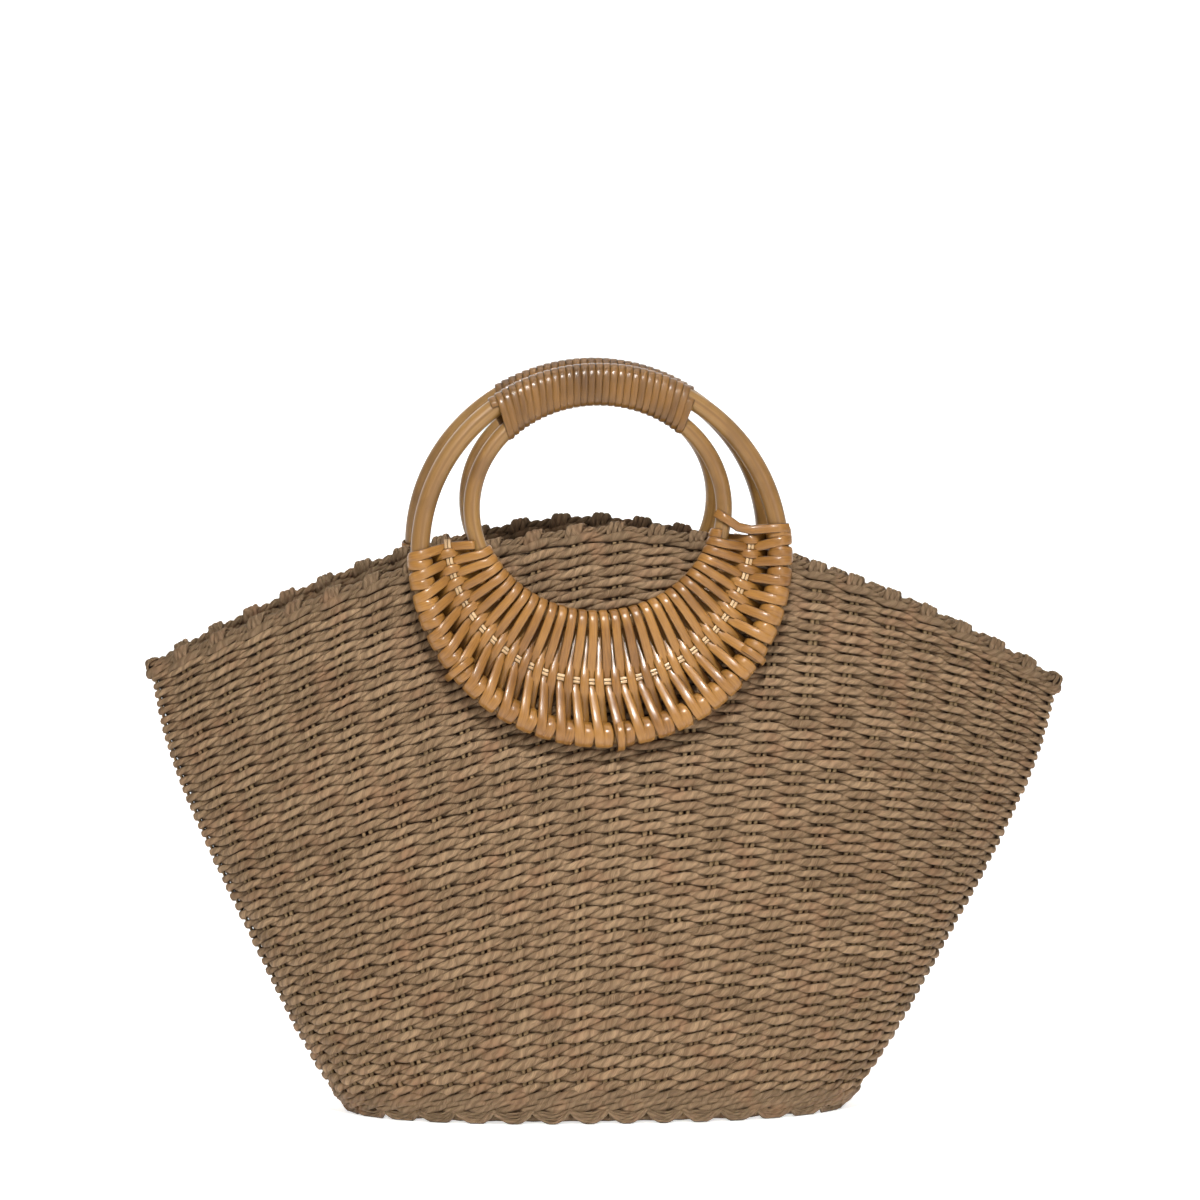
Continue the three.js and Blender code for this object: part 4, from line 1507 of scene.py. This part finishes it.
    def build(self) -> None:
        """Makes the whole handle."""
        self.canes()
        self.crescent()
        self.rib()
        self.grip()
        for number, gap in enumerate(self.ties, start=1):
            self.tie(number, gap)


@dataclass
class Studio:
    """White paper sweep, soft lights and the camera at the photo's angle."""

    azimuth: float = -5.46
    elevation: float = 4.23
    distance: float = 4.0
    target: tuple[float, float, float] = (-2.9 * MM, 0.0, 234.9 * MM)
    lit: tuple[float, float, float] = (0.0, 0.0, 130 * MM)
    image_pixels: int = 1200
    focal_pixels: float = 8708.8
    sensor: float = 36.0
    sweep_half_width: float = 4.0
    sweep_front: float = -6.0
    sweep_back: float = 3.0
    sweep_radius: float = 1.5
    sweep_height: float = 5.0
    sweep_steps: int = 24
    view_end: float = 100.0
    air_strength: float = 0.38
    softboxes: tuple[tuple[str, tuple[float, float, float], float, float, float], ...] = (
        ("key_softbox", (-0.15, -2.2, 2.1), 0.4, 0.85, 16.0),
        ("fill_softbox", (1.2, -2.6, 0.8), 1.2, 8.0, 180.0),
        ("top_softbox", (0.0, 0.2, 2.6), 1.6, 14.0, 180.0),
    )

    def camera(self) -> None:
        """Adds the camera."""
        data = bpy.data.cameras.new("camera")
        data.sensor_width = self.sensor
        data.lens = self.focal_pixels * self.sensor / self.image_pixels
        data.clip_end = self.view_end
        turn, tilt = math.radians(self.azimuth), math.radians(self.elevation)
        back = Vector(
            (
                math.sin(turn) * math.cos(tilt),
                -math.cos(turn) * math.cos(tilt),
                math.sin(tilt),
            )
        )
        made = bpy.data.objects.new("camera", data)
        made.location = Vector(self.target) + back * self.distance
        made.rotation_euler = back.to_track_quat("Z", "Y").to_euler()
        bpy.context.scene.collection.objects.link(made)
        bpy.context.scene.camera = made

    def sweep(self) -> None:
        """Adds the floor, which curves up behind the bag."""
        bend = np.radians(np.linspace(-90, 0, self.sweep_steps))
        profile = [(self.sweep_front, 0.0)]
        profile += [
            (
                self.sweep_back + self.sweep_radius * math.cos(angle),
                self.sweep_radius * (1 + math.sin(angle)),
            )
            for angle in bend
        ]
        profile.append((self.sweep_back + self.sweep_radius, self.sweep_height))
        points = [(x, y, z) for y, z in profile for x in (-self.sweep_half_width, self.sweep_half_width)]
        faces = [(2 * i, 2 * i + 1, 2 * i + 3, 2 * i + 2) for i in range(len(profile) - 1)]
        mesh = bpy.data.meshes.new("paper_sweep")
        mesh.from_pydata(points, [], faces)
        mesh.shade_smooth()
        mesh.materials.append(PaperSweepFinish(name="white studio paper").material())
        made = bpy.data.objects.new("paper_sweep", mesh)
        bpy.context.scene.collection.objects.link(made)

    def light(
        self,
        name: str,
        place: tuple[float, float, float],
        size: float,
        power: float,
        spread: float,
    ) -> None:
        """Adds one square soft light that faces the bag.

        Args:
            name: Its name.
            place: Where it stands.
            size: Length of its side.
            power: Its power in watts.
            spread: Angle that its honeycomb grid lets the light fan out to.
        """
        data = bpy.data.lights.new(name, "AREA")
        data.shape = "SQUARE"
        data.size = size
        data.energy = power
        data.spread = math.radians(spread)
        made = bpy.data.objects.new(name, data)
        made.location = place
        made.rotation_euler = (Vector(place) - Vector(self.lit)).to_track_quat("Z", "Y").to_euler()
        bpy.context.scene.collection.objects.link(made)

    def build(self) -> None:
        """Sets up the studio."""
        self.camera()
        self.sweep()
        for softbox in self.softboxes:
            self.light(*softbox)
        world = bpy.data.worlds.new("studio air")
        world.use_nodes = True
        air = world.node_tree.nodes["Background"]
        air.inputs["Color"].default_value = linear("#ffffff")
        air.inputs["Strength"].default_value = self.air_strength
        bpy.context.scene.world = world
        bpy.context.scene.view_settings.view_transform = "Standard"


def main() -> None:
    """Builds the bag and its studio."""
    logging.basicConfig(level=logging.INFO, format="%(message)s")
    shell = BasketShell()
    TwinedWall(shell).build()
    WovenBase(shell).build()
    FootBorder(shell).build()
    RimBorder(shell).build()
    RingHandle("front", roll=2.2, about=0.0, seed=20).build()
    RingHandle(
        "back",
        roll=0.0,
        about=180.0,
        seed=30,
        crescent_outer_span=90.0,
        crescent_inner_span=68.0,
        loose_end=(),
    ).build()
    Studio().build()


if __name__ == "__main__":
    main()
